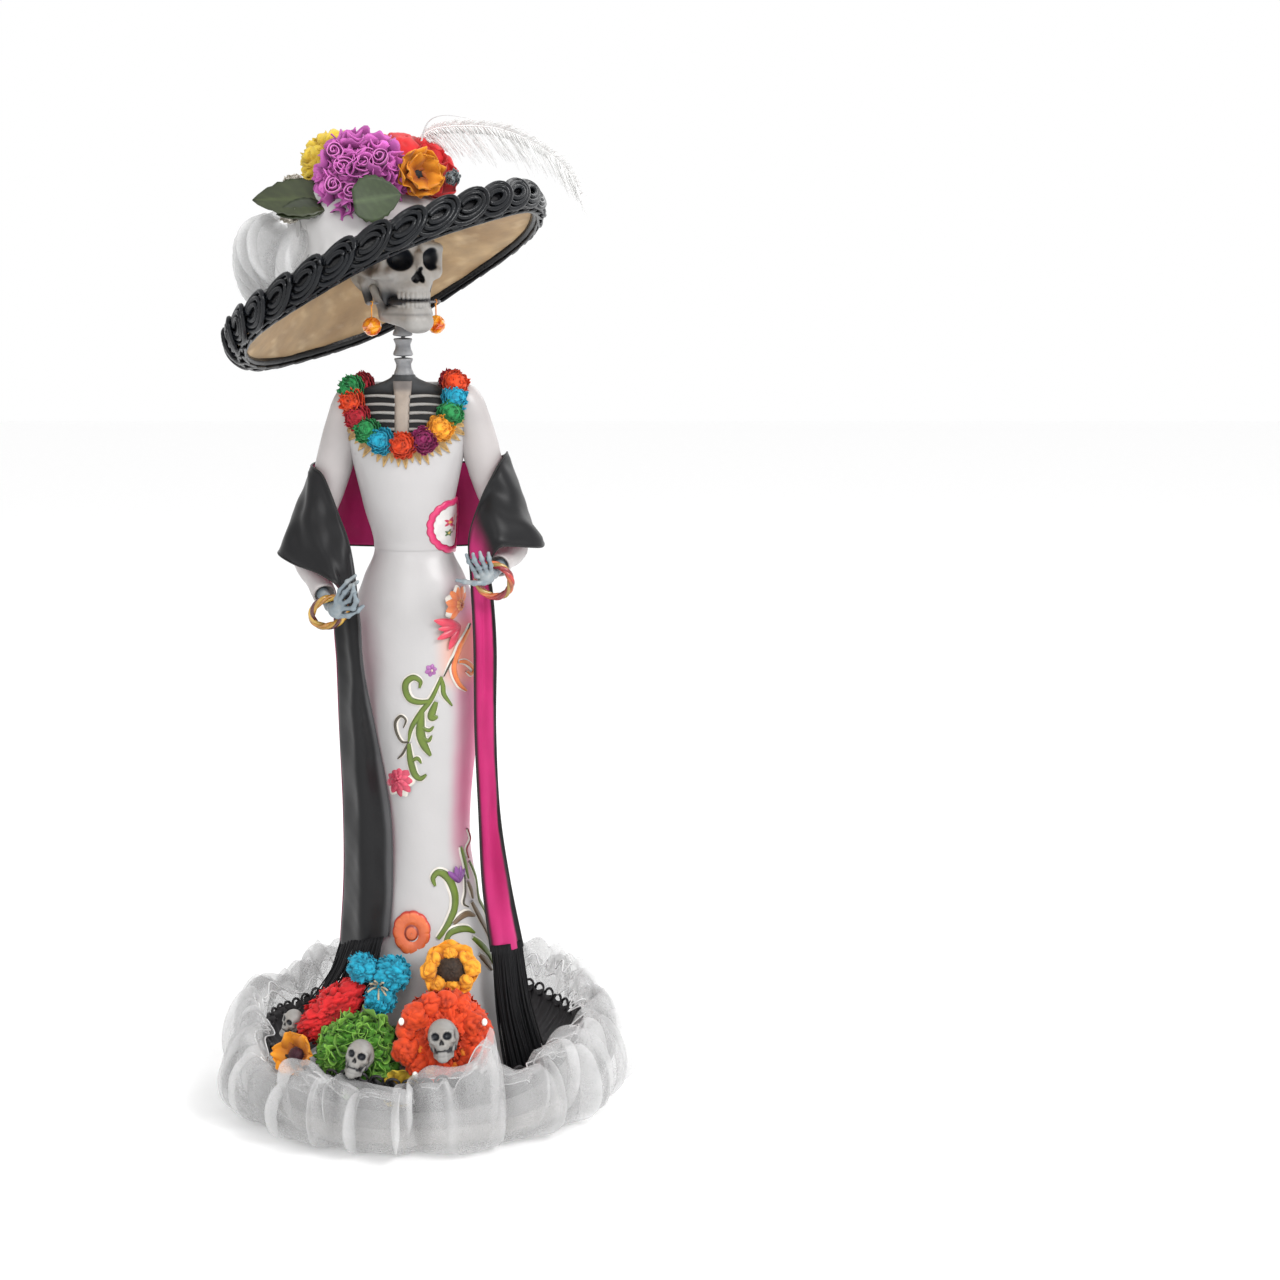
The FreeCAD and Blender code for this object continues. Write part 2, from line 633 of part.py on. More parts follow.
def peg_shape():
    start = HEAD_CENTRE + hat_axis() * PEG_START
    length = HAT_PROFILE[-1][1] - (start - HAT_CENTRE).dot(hat_axis()) - PEG_GAP
    return Part.makeCylinder(PEG_RADIUS, length, start, hat_axis())


def sleeve_block(side):
    """The sleeve before anything is cut from it."""
    elbow = ELBOWS[side]
    cuff = WRISTS[side] - (WRISTS[side] - elbow).normalize() * CUFF_SETBACK
    upper = limb(SHOULDERS[side], elbow, SHOULDER_RADIUS, ELBOW_RADIUS)
    return upper.fuse(limb(elbow, cuff, ELBOW_RADIUS, CUFF_RADIUS)).removeSplitter()


def arm_parts(side, torso, sleeve, wire):
    wrist = WRISTS[side]
    forward = (wrist - ELBOWS[side]).normalize()
    cuff = wrist - forward * CUFF_SETBACK
    palm = egg(PALMS[side], PALM_HALF_LENGTH, PALM_RADIUS, forward)
    bones = [rod(cuff + forward * 2, wrist + forward * WRIST_OVERRUN, WRIST_RADIUS)]
    bones.append(rod(wrist + forward * (WRIST_OVERRUN / 2), PALMS[side], WRIST_RADIUS - 0.3))
    for tip in [THUMB_TIPS[side]] + [Vector(*place) for place in FINGER_TIPS[side]]:
        bones.append(finger(PALMS[side], tip))
    hand = palm.fuse(bones)
    hand = without(hand, [sleeve, wire])
    sleeve = without(sleeve, [torso, wire])
    return {"sleeve_" + side: sleeve, "hand_" + side: hand}


def arm_wire(side):
    forward = (WRISTS[side] - ELBOWS[side]).normalize()
    tip = WRISTS[side] + forward * WIRE_OVERRUN
    return wire_through([WIRE_ROOTS[side], SHOULDERS[side], ELBOWS[side], tip], WIRE_RADIUS)


def bangle(side):
    """Ring that hangs from the wrist, square to the forearm."""
    wrist = WRISTS[side]
    forward = (wrist - ELBOWS[side]).normalize()
    down = Vector(0, 0, -1)
    down = (down - forward * down.dot(forward)).normalize()
    centre = wrist + down * (BANGLE_RADIUS - BANGLE_ROD - WRIST_RADIUS - FIT)
    return Part.makeTorus(BANGLE_RADIUS, BANGLE_ROD, centre, forward)


def shawl_parts(neighbours):
    shawl = without(sheet_solid(SHAWL_ROWS, SHAWL_THICKNESS), neighbours)
    threads = []
    for rows in FRINGE_ROWS.values():
        threads.append(without(sheet_solid(rows, FRINGE_THICKNESS), neighbours + [shawl]))
    return {"shawl": shawl, "fringe": Part.makeCompound(threads)}


def medallion_parts():
    """Round plaque that follows the bodice: a rim and the disc inside it."""
    skin = lofted(TORSO_SECTIONS, MEDALLION_RELIEF).cut(lofted(TORSO_SECTIONS, 0.0, 1.0))
    start = MEDALLION - MEDALLION_FACING * MEDALLION_RADIUS
    length = 2 * MEDALLION_RADIUS
    whole = Part.makeCylinder(MEDALLION_RADIUS, length, start, MEDALLION_FACING)
    inner = Part.makeCylinder(MEDALLION_RADIUS - MEDALLION_RIM, length, start, MEDALLION_FACING)
    rim = skin.common(whole.cut(inner)).Solids[0]
    disc = skin.common(inner).Solids[0]
    return {"medallion_rim": rim, "medallion_disc": disc}


def rose_place(angle):
    reach = NECKLINE_RADIUS + GARLAND_OUTSET
    x = NECKLINE_X + reach * math.cos(math.radians(angle))
    z = NECKLINE_Z + GARLAND_RISE + reach * math.sin(math.radians(angle))
    return Vector(x, surface_y(TORSO_SECTIONS, x, z) - ROSE_DEPTH * 0.5, z)


def garland_parts(neighbours):
    """Roses round the neckline, one node to a colour, and the lace under them."""
    colours = {}
    placed = []
    roses = [(colour, rose_place(angle)) for colour, angle in GARLAND] + SHOULDER_ROSES
    for colour, place in roses:
        outward = Vector(place.x * ROSE_SPREAD, -1, ROSE_TILT)
        rose = blossom(place, outward, ROSE_RADIUS, ROSE_DEPTH)
        colours.setdefault(colour, []).append(without(rose, placed + neighbours))
        placed.append(rose)
    nodes = {}
    for colour, group in colours.items():
        nodes["garland_roses_" + colour] = Part.makeCompound(group)
    band = lofted(TORSO_SECTIONS, LACE_RELIEF).cut(lofted(TORSO_SECTIONS, 0.0, 1.0))
    middle = Vector(NECKLINE_X, -CHEST_REACH, NECKLINE_Z)
    outside = NECKLINE_RADIUS + LACE_WIDTH
    wide = Part.makeCylinder(outside, CHEST_REACH, middle, Vector(0, 1, 0))
    corner = middle - Vector(1.2 * outside, 0, LACE_FOOT)
    lower = Part.makeBox(2.4 * outside, CHEST_REACH, LACE_FOOT - LACE_RISE, corner)
    band = band.common(wide).common(lower).cut(neckline_cutter())
    nodes["neckline_lace"] = without(band, placed + neighbours[1:])
    return nodes


def base_flower_parts(neighbours):
    nodes = {}
    placed = list(neighbours)
    for name, (centre, facing) in MINI_SKULLS.items():
        skull = egg(centre, MINI_SKULL_HEIGHT / 2, MINI_SKULL_WIDTH / 2, Vector(0, 0, 1))
        skull.translate(facing.normalize() * MINI_SKULL_PROUD)
        nodes[name] = without(skull, placed)
        placed.append(skull)
    bunches = {}
    for name, centre, facing, radius, depth in BASE_FLOWERS:
        flower = blossom(centre, facing, radius, depth)
        bunches.setdefault(name, []).append(without(flower, placed))
        placed.append(flower)
    for name, flowers in bunches.items():
        nodes[name] = flowers[0] if len(flowers) == 1 else Part.makeCompound(flowers)
    front = surface_y(SKIRT_SECTIONS, ROSETTE_X, ROSETTE_Z)
    start = Vector(ROSETTE_X, front + 2 * ROSETTE_DEPTH, ROSETTE_Z)
    disc = Part.makeCylinder(ROSETTE_RADIUS, 3 * ROSETTE_DEPTH, start, ROSETTE_FACING)
    nodes["flower_rosette"] = without(disc, placed)
    return nodes


def hat_parts():
    inner = HAT_PROFILE
    middle = offset_profile(inner, HAT_SHELL)
    outer = offset_profile(inner, HAT_SHELL + HAT_COVER)
    shell = in_hat(revolved(inner + middle[::-1]))
    cover = in_hat(revolved(middle + outer[::-1]))
    trim = without(hat_trim(), [shell, cover])
    nodes = {"hat_shell": shell, "hat_cover": cover, "hat_trim": trim}
    nodes["hat_socket"] = without(hat_socket(), [shell, cover])
    nodes.update(hat_ornaments([shell, cover, trim]))
    return nodes


def hat_trim():
    """Ring of thick braid that stands on the edge of the brim and laps round it."""
    edge = HAT_PROFILE[0][0]
    return in_hat(revolved([(edge + past, height) for past, height in HAT_TRIM_OUTLINE]))


def hat_socket():
    """Sleeve under the crown that the head's peg goes into."""
    axis = hat_axis()
    depth = HAT_PROFILE[-1][1] - SOCKET_DEPTH - (HEAD_CENTRE - HAT_CENTRE).dot(axis)
    foot = HEAD_CENTRE + axis * depth
    socket = Part.makeCylinder(SOCKET_RADIUS, SOCKET_DEPTH + SOCKET_OVERRUN, foot, axis)
    length = SOCKET_DEPTH + SOCKET_OVERRUN + 2
    return socket.cut(Part.makeCylinder(PEG_RADIUS + RUNNING_GAP, length, foot - axis, axis))


def hat_ornaments(placed):
    """Flowers, buds, leaves, net and feather, each cut back from the ones before it."""
    nodes = {}
    solid = list(placed)
    for name, (centre, facing, radius, depth) in HAT_FLOWERS.items():
        flower = blossom(centre, facing, radius, depth)
        nodes[name] = without(flower, solid)
        solid.append(flower)
    buds = []
    for place in HAT_BUDS:
        bud = Part.makeSphere(BUD_RADIUS, place)
        buds.append(without(bud, solid))
        solid.append(bud)
    nodes["hat_buds"] = Part.makeCompound(buds)
    leaves = []
    for root, tip, half_width in HAT_LEAVES:
        leaves.append(without(leaf(root, tip, half_width), solid))
        solid.append(leaves[-1])
    nodes["hat_leaves"] = Part.makeCompound(leaves)
    tulle = revolved(HAT_TULLE_PROFILE, HAT_TULLE_SWEEP)
    tulle.rotate(Vector(0, 0, 0), Vector(0, 0, 1), HAT_TULLE_START)
    nodes["hat_tulle"] = without(in_hat(tulle), solid)
    solid.append(nodes["hat_tulle"])
    rows = []
    for middle_point, half_width in FEATHER_ROWS:
        tilt = FEATHER_UP.normalize() * half_width
        rows.append((middle_point - tilt, middle_point, middle_point + tilt))
    nodes["hat_feather"] = without(sheet_solid(rows, FEATHER_THICKNESS), solid)
    return nodes


def build():
    nodes = base_parts()
    neck_wire = rod(Vector(NECK_X, 0, NECK_WIRE_BOTTOM), Vector(NECK_X, 0, NECK_WIRE_TOP), WIRE_RADIUS)
    nodes["core_post"] = without(nodes["core_post"], [neck_wire])
    nodes["neck_wire"] = neck_wire
    wires = {side: arm_wire(side) for side in ("right", "left")}
    nodes["arm_wires"] = Part.makeCompound(list(wires.values()))
    nodes.update(dress_parts())
    nodes["bodice"] = without(nodes["bodice"], wires.values())
    nodes.update(chest_parts([nodes["core_post"], neck_wire, wires["right"], wires["left"]]))
    nodes.update(neck_parts(neck_wire))
    nodes["hat_peg"] = peg_shape()
    nodes.update(head_parts(neck_wire, nodes["hat_peg"]))
    torso = lofted(TORSO_SECTIONS, 0.0)
    skirt = lofted(SKIRT_SECTIONS, 0.0)
    sleeves = []
    hands = []
    for side, wire in wires.items():
        sleeves.append(sleeve_block(side))
        nodes.update(arm_parts(side, torso, sleeves[-1], wire))
        hands.append(nodes["hand_" + side])
        nodes["bangle_" + side] = bangle(side)
    nodes.update(medallion_parts())
    nodes.update(garland_parts([torso, nodes["vertebra_1"]] + sleeves))
    nodes["hem_lace"] = without(nodes["hem_lace"], [skirt])
    ground = [skirt, nodes["base_board"], revolved(LACE_PROFILE), nodes["tulle_ruffle"]]
    nodes.update(base_flower_parts(ground))
    piled = [nodes[name] for name in nodes if name.startswith(("flower_", "mini_skull"))]
    nodes.update(shawl_parts([torso] + sleeves + hands + ground + piled))
    nodes.update(hat_parts())
    return nodes


def main():
    os.makedirs("parts", exist_ok=True)
    for name, shape in build().items():
        if not shape.isValid():
            raise ValueError("node %s is not a valid shape" % name)
        if not shape.Solids:
            raise ValueError("node %s has no solid" % name)
        shape.exportStep("parts/%s.step" % name)
        box = shape.BoundBox
        spans = ((box.XMin, box.XMax), (box.YMin, box.YMax), (box.ZMin, box.ZMax))
        ranges = "  ".join("%7.1f..%7.1f" % span for span in spans)
        print("%-22s %2d solid(s)  %s  volume %9.0f" % (name, len(shape.Solids), ranges, shape.Volume))


main()
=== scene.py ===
import json
import math

import bpy
import numpy as np
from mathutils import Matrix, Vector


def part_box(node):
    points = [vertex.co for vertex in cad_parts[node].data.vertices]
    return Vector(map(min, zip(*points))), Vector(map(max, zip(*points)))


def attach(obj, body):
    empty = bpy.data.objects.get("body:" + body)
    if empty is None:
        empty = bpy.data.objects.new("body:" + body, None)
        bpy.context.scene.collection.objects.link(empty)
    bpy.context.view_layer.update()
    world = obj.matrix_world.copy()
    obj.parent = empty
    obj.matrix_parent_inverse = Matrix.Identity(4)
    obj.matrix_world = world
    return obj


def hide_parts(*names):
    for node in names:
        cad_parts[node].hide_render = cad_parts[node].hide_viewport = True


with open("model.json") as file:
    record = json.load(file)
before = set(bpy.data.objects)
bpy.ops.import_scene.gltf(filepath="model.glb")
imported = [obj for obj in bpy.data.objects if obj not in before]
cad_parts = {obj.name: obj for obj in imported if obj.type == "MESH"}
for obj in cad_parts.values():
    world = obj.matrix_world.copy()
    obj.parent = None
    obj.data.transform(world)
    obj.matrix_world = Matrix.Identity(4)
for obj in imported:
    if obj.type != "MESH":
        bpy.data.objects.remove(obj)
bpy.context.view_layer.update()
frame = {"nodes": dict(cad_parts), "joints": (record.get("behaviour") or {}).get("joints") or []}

# Papier-mache catrina: the looks of each piece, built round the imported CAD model.
# Lengths in the shape code are millimetres and are turned to metres when a mesh is made.
# The figure faces -Y; right and left are its own sides, so its right is at -X.

MM = 0.001

BONE = (0.31, 0.30, 0.285)
WHITE = (0.45, 0.44, 0.44)


# ---- small mathematics ------------------------------------------------------------------

def unit(v):
    """Vectors made one long."""
    v = np.asarray(v, float)
    return v / np.linalg.norm(v, axis=-1, keepdims=True)


def mix(a, b, share):
    """Blend of a and b: a where share is 0, b where it is 1."""
    share = np.asarray(share, float)[..., None]
    return np.asarray(a, float) * (1 - share) + np.asarray(b, float) * share


def smoothstep(low, high, x):
    """Smooth rise of x from 0 at low to 1 at high; a fall where high is the smaller."""
    t = np.clip((np.asarray(x, float) - low) / (high - low), 0, 1)
    return t * t * (3 - 2 * t)


def hump(x, at, width):
    """Smooth bump: 1 where x is `at`, fading on both sides of it."""
    return np.exp(-((x - at) / width) ** 2)


def round_angles(count):
    """Evenly spaced angles of one full turn, in radians."""
    return np.linspace(0, 2 * math.pi, count, endpoint=False)


def patch_grid(rows, cols):
    """Grid of v, from 0 to 1 down the rows, and of u, from -1 to 1 across the columns."""
    return np.meshgrid(np.linspace(0, 1, rows), np.linspace(-1, 1, cols), indexing="ij")


def wander(p, seed=0, scale=1.0):
    """Smooth pseudo-random value in about -1..1 at points p, from a few sine waves."""
    rng = np.random.default_rng(seed)
    p = np.asarray(p, float) / scale
    total = np.zeros(p.shape[:-1])
    for octave, weight in ((1.0, 0.5), (2.1, 0.3), (4.3, 0.2)):
        wave = rng.normal(size=(3, p.shape[-1])) * octave
        phase = rng.uniform(0, 2 * math.pi, 3)
        total += weight * np.sin(p @ wave.T + phase).sum(-1) / 1.8
    return total


def monotone(xs, ys):
    """Smooth curve through (xs, ys) that never overshoots between two points."""
    xs, ys = np.asarray(xs, float), np.asarray(ys, float)
    run = np.diff(xs)
    slope = np.diff(ys) / run
    tangent = np.zeros_like(ys)
    same = slope[:-1] * slope[1:] > 0
    tangent[1:-1][same] = 2 * slope[:-1][same] * slope[1:][same] / (slope[:-1] + slope[1:])[same]
    tangent[0], tangent[-1] = slope[0], slope[-1]

    def curve(x):
        x = np.clip(x, xs[0], xs[-1])
        i = np.clip(np.searchsorted(xs, x) - 1, 0, len(run) - 1)
        t = (x - xs[i]) / run[i]
        h = run[i]
        return (ys[i] * (1 + 2 * t) * (1 - t) ** 2 + tangent[i] * h * t * (1 - t) ** 2
                + ys[i + 1] * t * t * (3 - 2 * t) + tangent[i + 1] * h * t * t * (t - 1))
    return curve


def spline(points, count):
    """Evenly numbered points on a Catmull-Rom curve through the given ones."""
    p = np.asarray(points, float)
    p = np.vstack([2 * p[0] - p[1], p, 2 * p[-1] - p[-2]])
    s = np.linspace(0, len(p) - 3 - 1e-9, count)
    i = s.astype(int)
    t = (s - i)[:, None]
    a, b, c, d = p[i], p[i + 1], p[i + 2], p[i + 3]
    return 0.5 * (2 * b + (c - a) * t + (2 * a - 5 * b + 4 * c - d) * t ** 2
                  + (3 * b - a - 3 * c + d) * t ** 3)


def basis(facing, up=(0, 0, 1)):
    """Three unit rows: across, upward and facing."""
    facing = unit(facing)
    up = np.asarray(up, float)
    if abs(facing @ unit(up)) > 0.98:
        up = np.array([0.0, 1.0, 0.0])
    across = unit(np.cross(up, facing))
    return np.array([across, np.cross(facing, across), facing])


def rolled_basis(facing, roll):
    """The same three rows, turned by `roll` degrees about the way they face."""
    across, upward, outward = basis(facing)
    c, s = math.cos(math.radians(roll)), math.sin(math.radians(roll))
    return np.array([across * c + upward * s, upward * c - across * s, outward])


def grid_faces(rows, cols, around=False, start=0):
    """Quads of a rows x cols grid; `around` joins its last column to its first."""
    i, j = np.meshgrid(np.arange(rows - 1), np.arange(cols if around else cols - 1), indexing="ij")
    k = (j + 1) % cols
    quads = np.stack([i * cols + j, i * cols + k, (i + 1) * cols + k, (i + 1) * cols + j], -1)
    return quads.reshape(-1, 4) + start


def grid_normals(grid):
    """Unit normals of a rows x cols x 3 grid."""
    along = np.gradient(grid, axis=0)
    across = np.gradient(grid, axis=1)
    return unit(np.cross(across, along) + 1e-12)


# ---- meshes -----------------------------------------------------------------------------

class Bag:
    """Collects patches with their colours into one mesh. Places are in millimetres."""

    def __init__(self):
        self.points, self.faces, self.tints, self.count = [], [], [], 0

    def add(self, points, faces, tint):
        points = np.asarray(points, float).reshape(-1, 3)
        tint = np.broadcast_to(np.asarray(tint, float).reshape(-1, 3), points.shape)
        self.points.append(points)
        self.faces.append(np.asarray(faces) + self.count)
        self.tints.append(tint)
        self.count += len(points)

    def grid(self, grid, tint, around=False):
        rows, cols = grid.shape[:2]
        tint = np.asarray(tint, float)
        if tint.ndim > 1:
            tint = tint.reshape(-1, 3)
        self.add(grid, grid_faces(rows, cols, around), tint)

    def tube(self, path, radius, tint, sides=8, flat=1.0, up=(0.1, 0.2, 1)):
        """Rod along a path with rounded ends; radius may be one number or one a point."""
        path = np.asarray(path, float)
        radius = np.broadcast_to(np.asarray(radius, float), len(path))
        along = unit(np.gradient(path, axis=0))
        side = unit(np.cross(along, np.broadcast_to(up, along.shape)) + 1e-9)
        rise = np.cross(side, along)
        path = np.vstack([path[:1], path, path[-1:]])
        along, side, rise = [np.vstack([a[:1], a, a[-1:]]) for a in (along, side, rise)]
        radius = np.concatenate([[radius[0] * 0.02], radius, [radius[-1] * 0.02]])
        angle = round_angles(sides)
        ring = side[:, None] * np.cos(angle)[:, None] + rise[:, None] * np.sin(angle)[:, None] * flat
        tint = np.asarray(tint, float)
        if tint.ndim > 1:
            tint = np.repeat(np.vstack([tint[:1], tint, tint[-1:]]), sides, axis=0)
        self.grid(path[:, None] + ring * radius[:, None, None], tint, around=True)

    def piece(self, name, material, body, smooth=True, replaces=(), slot=None):
        return piece(name, np.vstack(self.points), list(self.faces), material, body,
                     np.vstack(self.tints), smooth, replaces, slot)


def piece(name, points, faces, material, body, tint=None, smooth=True, replaces=(), slot=None):
    """Mesh object that rides on a body. faces is one array of faces or a list of such arrays."""
    mesh = bpy.data.meshes.new(name)
    groups = faces if isinstance(faces, list) else [faces]
    flat = [tuple(int(v) for v in face) for group in groups for face in group]
    mesh.from_pydata((np.asarray(points, float) * MM).tolist(), [], flat)
    mesh.validate()
    if tint is not None:
        layer = mesh.color_attributes.new("tint", "FLOAT_COLOR", "POINT")
        rgba = np.ones((len(mesh.vertices), 4))
        rgba[:, :3] = tint
        layer.data.foreach_set("color", rgba.ravel())
    if smooth:
        mesh.shade_smooth()
    mesh.materials.append(material)
    obj = bpy.data.objects.new(name, mesh)
    bpy.context.scene.collection.objects.link(obj)
    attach(obj, body)
    if replaces:
        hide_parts(*replaces)
    return obj


def cad_points(node):
    """Vertices of a CAD node in millimetres."""
    mesh = frame["nodes"][node].data
    flat = np.empty(len(mesh.vertices) * 3)
    mesh.vertices.foreach_get("co", flat)
    return flat.reshape(-1, 3) / MM


def middle(node):
    """Middle of a CAD node's box in millimetres."""
    low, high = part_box(node)
    return (np.array(low) + np.array(high)) / 2 / MM


# ---- shapes from distance fields --------------------------------------------------------

def ball(p, centre, size):
    """Rough distance to an ellipsoid with half sizes `size`."""
    q = (p - np.asarray(centre, float)) / np.asarray(size, float)
    k = np.linalg.norm(q, axis=-1)
    return k * (k - 1) / (np.linalg.norm(q / np.asarray(size, float), axis=-1) + 1e-9)


def bar(p, start, end, start_radius, end_radius=None):
    """Distance to a round bar from start to end, tapered between two radii."""
    start, end = np.asarray(start, float), np.asarray(end, float)
    run = end - start
    t = np.clip((p - start) @ run / (run @ run), 0, 1)
    radius = start_radius + (0 if end_radius is None else end_radius - start_radius) * t
    return np.linalg.norm(p - start - t[..., None] * run, axis=-1) - radius


def blend_min(a, b, k):
    """Distance to both shapes together, the corner between them filled over k."""
    h = np.clip(0.5 + 0.5 * (b - a) / k, 0, 1)
    return b * (1 - h) + a * h - k * h * (1 - h)


def carve(a, b, k):
    """Shape a with b taken out of it, the edge softened over k."""
    return -blend_min(-a, b, k)


def net(field, low, step):
    """Surface-nets mesh of the zero level of a 3-D array of distances."""
    size = np.array(field.shape) - 1
    total = np.zeros((*size, 3))
    count = np.zeros(size)
    for corner in np.ndindex(2, 2, 2):
        for axis in range(3):
            if corner[axis]:
                continue
            other = list(corner)
            other[axis] = 1
            a = field[tuple(slice(c, c + n) for c, n in zip(corner, size))]
            b = field[tuple(slice(c, c + n) for c, n in zip(other, size))]
            cross = (a < 0) != (b < 0)
            t = np.where(cross, a / np.where(cross, a - b, 1), 0)
            for k in range(3):
                total[..., k] += cross * (corner[k] + (t if k == axis else 0))
            count += cross
    active = count > 0
    index = np.full(size, -1)
    index[active] = np.arange(active.sum())
    points = low + step * (np.argwhere(active) + total[active] / count[active][:, None])
    faces = []
    for axis in range(3):
        u, v = (axis + 1) % 3, (axis + 2) % 3
        cut = [slice(None)] * 3
        cut[axis] = slice(0, -1)
        a = field[tuple(cut)]
        cut[axis] = slice(1, None)
        b = field[tuple(cut)]
        spots = np.argwhere((a < 0) != (b < 0))
        inner = (spots[:, u] > 0) & (spots[:, v] > 0) & (spots[:, u] < size[u]) & (spots[:, v] < size[v])
        spots = spots[inner]
        step_u, step_v = np.eye(3, dtype=int)[u], np.eye(3, dtype=int)[v]
        corners = (0 * step_u, step_u, step_u + step_v, step_v)
        quad = np.stack([index[tuple((spots - corner).T)] for corner in corners], 1)
        flip = a[tuple(spots.T)] >= 0
        quad[flip] = quad[flip][:, ::-1]
        faces.append(quad)
    return points, np.vstack(faces)[:, ::-1]


def sculpt(shape, low, high, step, reach=2.5):
    """Mesh of shape(points) and how open the surface is at each vertex: 0 deep in a hollow, 1 free."""
    low, high = np.asarray(low, float), np.asarray(high, float)
    axes = [np.arange(a, b + step, step) for a, b in zip(low, high)]
    cells = np.stack(np.meshgrid(*axes, indexing="ij"), -1)
    field = shape(cells)
    points, faces = net(field, low, step)
    slope = np.stack([shape(points + d) - shape(points - d) for d in np.eye(3) * 0.3], -1)
    normal = unit(slope + 1e-9)
    openness = sum(shape(points + normal * reach * k) / (reach * k) for k in (0.6, 1.2, 2.4)) / 3
    return points, faces, np.clip(openness, 0, 1)


# ---- materials --------------------------------------------------------------------------

class Nodes:
    """Short way to lay out a material's node tree."""

    def __init__(self, name):
        self.material = bpy.data.materials.new(name)
        self.material.use_nodes = True
        self.tree = self.material.node_tree
        self.tree.nodes.clear()
        self.out = self.add("ShaderNodeOutputMaterial")
        self.shader = self.add("ShaderNodeBsdfPrincipled")
        self.link(self.shader, 0, self.out, "Surface")
        self.place = self.add("ShaderNodeTexCoord")

    def add(self, kind, **values):
        node = self.tree.nodes.new(kind)
        for key, value in values.items():
            if key in node.inputs:
                node.inputs[key].default_value = value
            else:
                setattr(node, key, value)
        return node

    def link(self, a, out, b, into):
        self.tree.links.new(a.outputs[out], b.inputs[into])

    def noise(self, scale, detail=3.0, stretch=None):
        noise = self.add("ShaderNodeTexNoise", Scale=scale, Detail=detail)
        if stretch is None:
            self.link(self.place, "Object", noise, "Vector")
        else:
            mapping = self.add("ShaderNodeMapping", Scale=stretch)
            self.link(self.place, "Object", mapping, "Vector")
            self.link(mapping, 0, noise, "Vector")
        return noise

    def ramp(self, source, out, stops):
        ramp = self.add("ShaderNodeValToRGB")
        for element, (at, colour) in zip(ramp.color_ramp.elements, stops):
            element.position = at
            element.color = (*colour, 1)
        for at, colour in stops[2:]:
            ramp.color_ramp.elements.new(at).color = (*colour, 1)
        self.link(source, out, ramp, "Fac")
        return ramp

    def multiply(self, a, a_out, b, b_out):
        node = self.add("ShaderNodeMix", data_type="RGBA", blend_type="MULTIPLY")
        node.inputs["Factor"].default_value = 1
        self.tree.links.new(a.outputs[a_out], node.inputs[6])
        self.tree.links.new(b.outputs[b_out], node.inputs[7])
        return node

    def bump(self, source, out, strength, distance):
        bump = self.add("ShaderNodeBump", Strength=strength, Distance=distance)
        self.link(source, out, bump, "Height")
        before = self.shader.inputs["Normal"]
        if before.is_linked:
            self.tree.links.new(before.links[0].from_socket, bump.inputs["Normal"])
        self.link(bump, 0, self.shader, "Normal")


def surface(name, colour=None, rough=0.5, mottle=0.12, mottle_scale=45, grain=900, grain_depth=0.00012,
            lumps=0.0, lump_scale=110, coat=0.0, sheen=0.0, alpha=1.0, stretch=None, specular=0.5):
    """Painted, papery or woven finish. With no colour the mesh's own tint is used."""
    n = Nodes(name)
    if colour is None:
        base = n.add("ShaderNodeAttribute", attribute_name="tint")
        base_out = "Color"
    else:
        base = n.add("ShaderNodeRGB")
        base.outputs[0].default_value = (*colour, 1)
        base_out = 0
    patches = n.noise(mottle_scale, 5.0)
    shade = n.ramp(patches, "Fac", [(0.25, (1 - mottle,) * 3), (0.75, (1 + mottle * 0.5,) * 3)])
    n.link(n.multiply(base, base_out, shade, 0), 2, n.shader, "Base Color")
    fine = n.noise(grain, 3.0, stretch)
    gloss = n.add("ShaderNodeMapRange")
    gloss.inputs["To Min"].default_value = max(rough - 0.09, 0.02)
    gloss.inputs["To Max"].default_value = min(rough + 0.09, 1.0)
    n.link(patches, "Fac", gloss, "Value")
    n.link(gloss, 0, n.shader, "Roughness")
    n.bump(fine, "Fac", 0.6, grain_depth)
    if lumps:
        n.bump(n.noise(lump_scale, 2.0), "Fac", 0.8, lumps)
    n.shader.inputs["Coat Weight"].default_value = coat
    n.shader.inputs["Coat Roughness"].default_value = 0.18
    n.shader.inputs["Sheen Weight"].default_value = sheen
    n.shader.inputs["Specular IOR Level"].default_value = specular
    n.shader.inputs["Alpha"].default_value = alpha
    return n.material


# ---- camera, light and floor ------------------------------------------------------------

CAMERA_PLACE = (0.171, -1.80, 0.69)
CAMERA_PITCH = 10.3          # degrees below the horizon
CAMERA_LENS = 66.94          # millimetres on a 36 mm square sensor


def area_light(name, place, target, size, watts):
    """Square lamp that shines from a place towards a target, in metres."""
    light = bpy.data.lights.new(name, "AREA")
    light.size = size
    light.energy = watts
    obj = bpy.data.objects.new(name, light)
    obj.location = place
    towards = np.array(target) - np.array(place)
    obj.rotation_euler = (math.atan2(math.hypot(towards[0], towards[1]), -towards[2]), 0,
                          math.atan2(-towards[0], towards[1]))
    bpy.context.scene.collection.objects.link(obj)


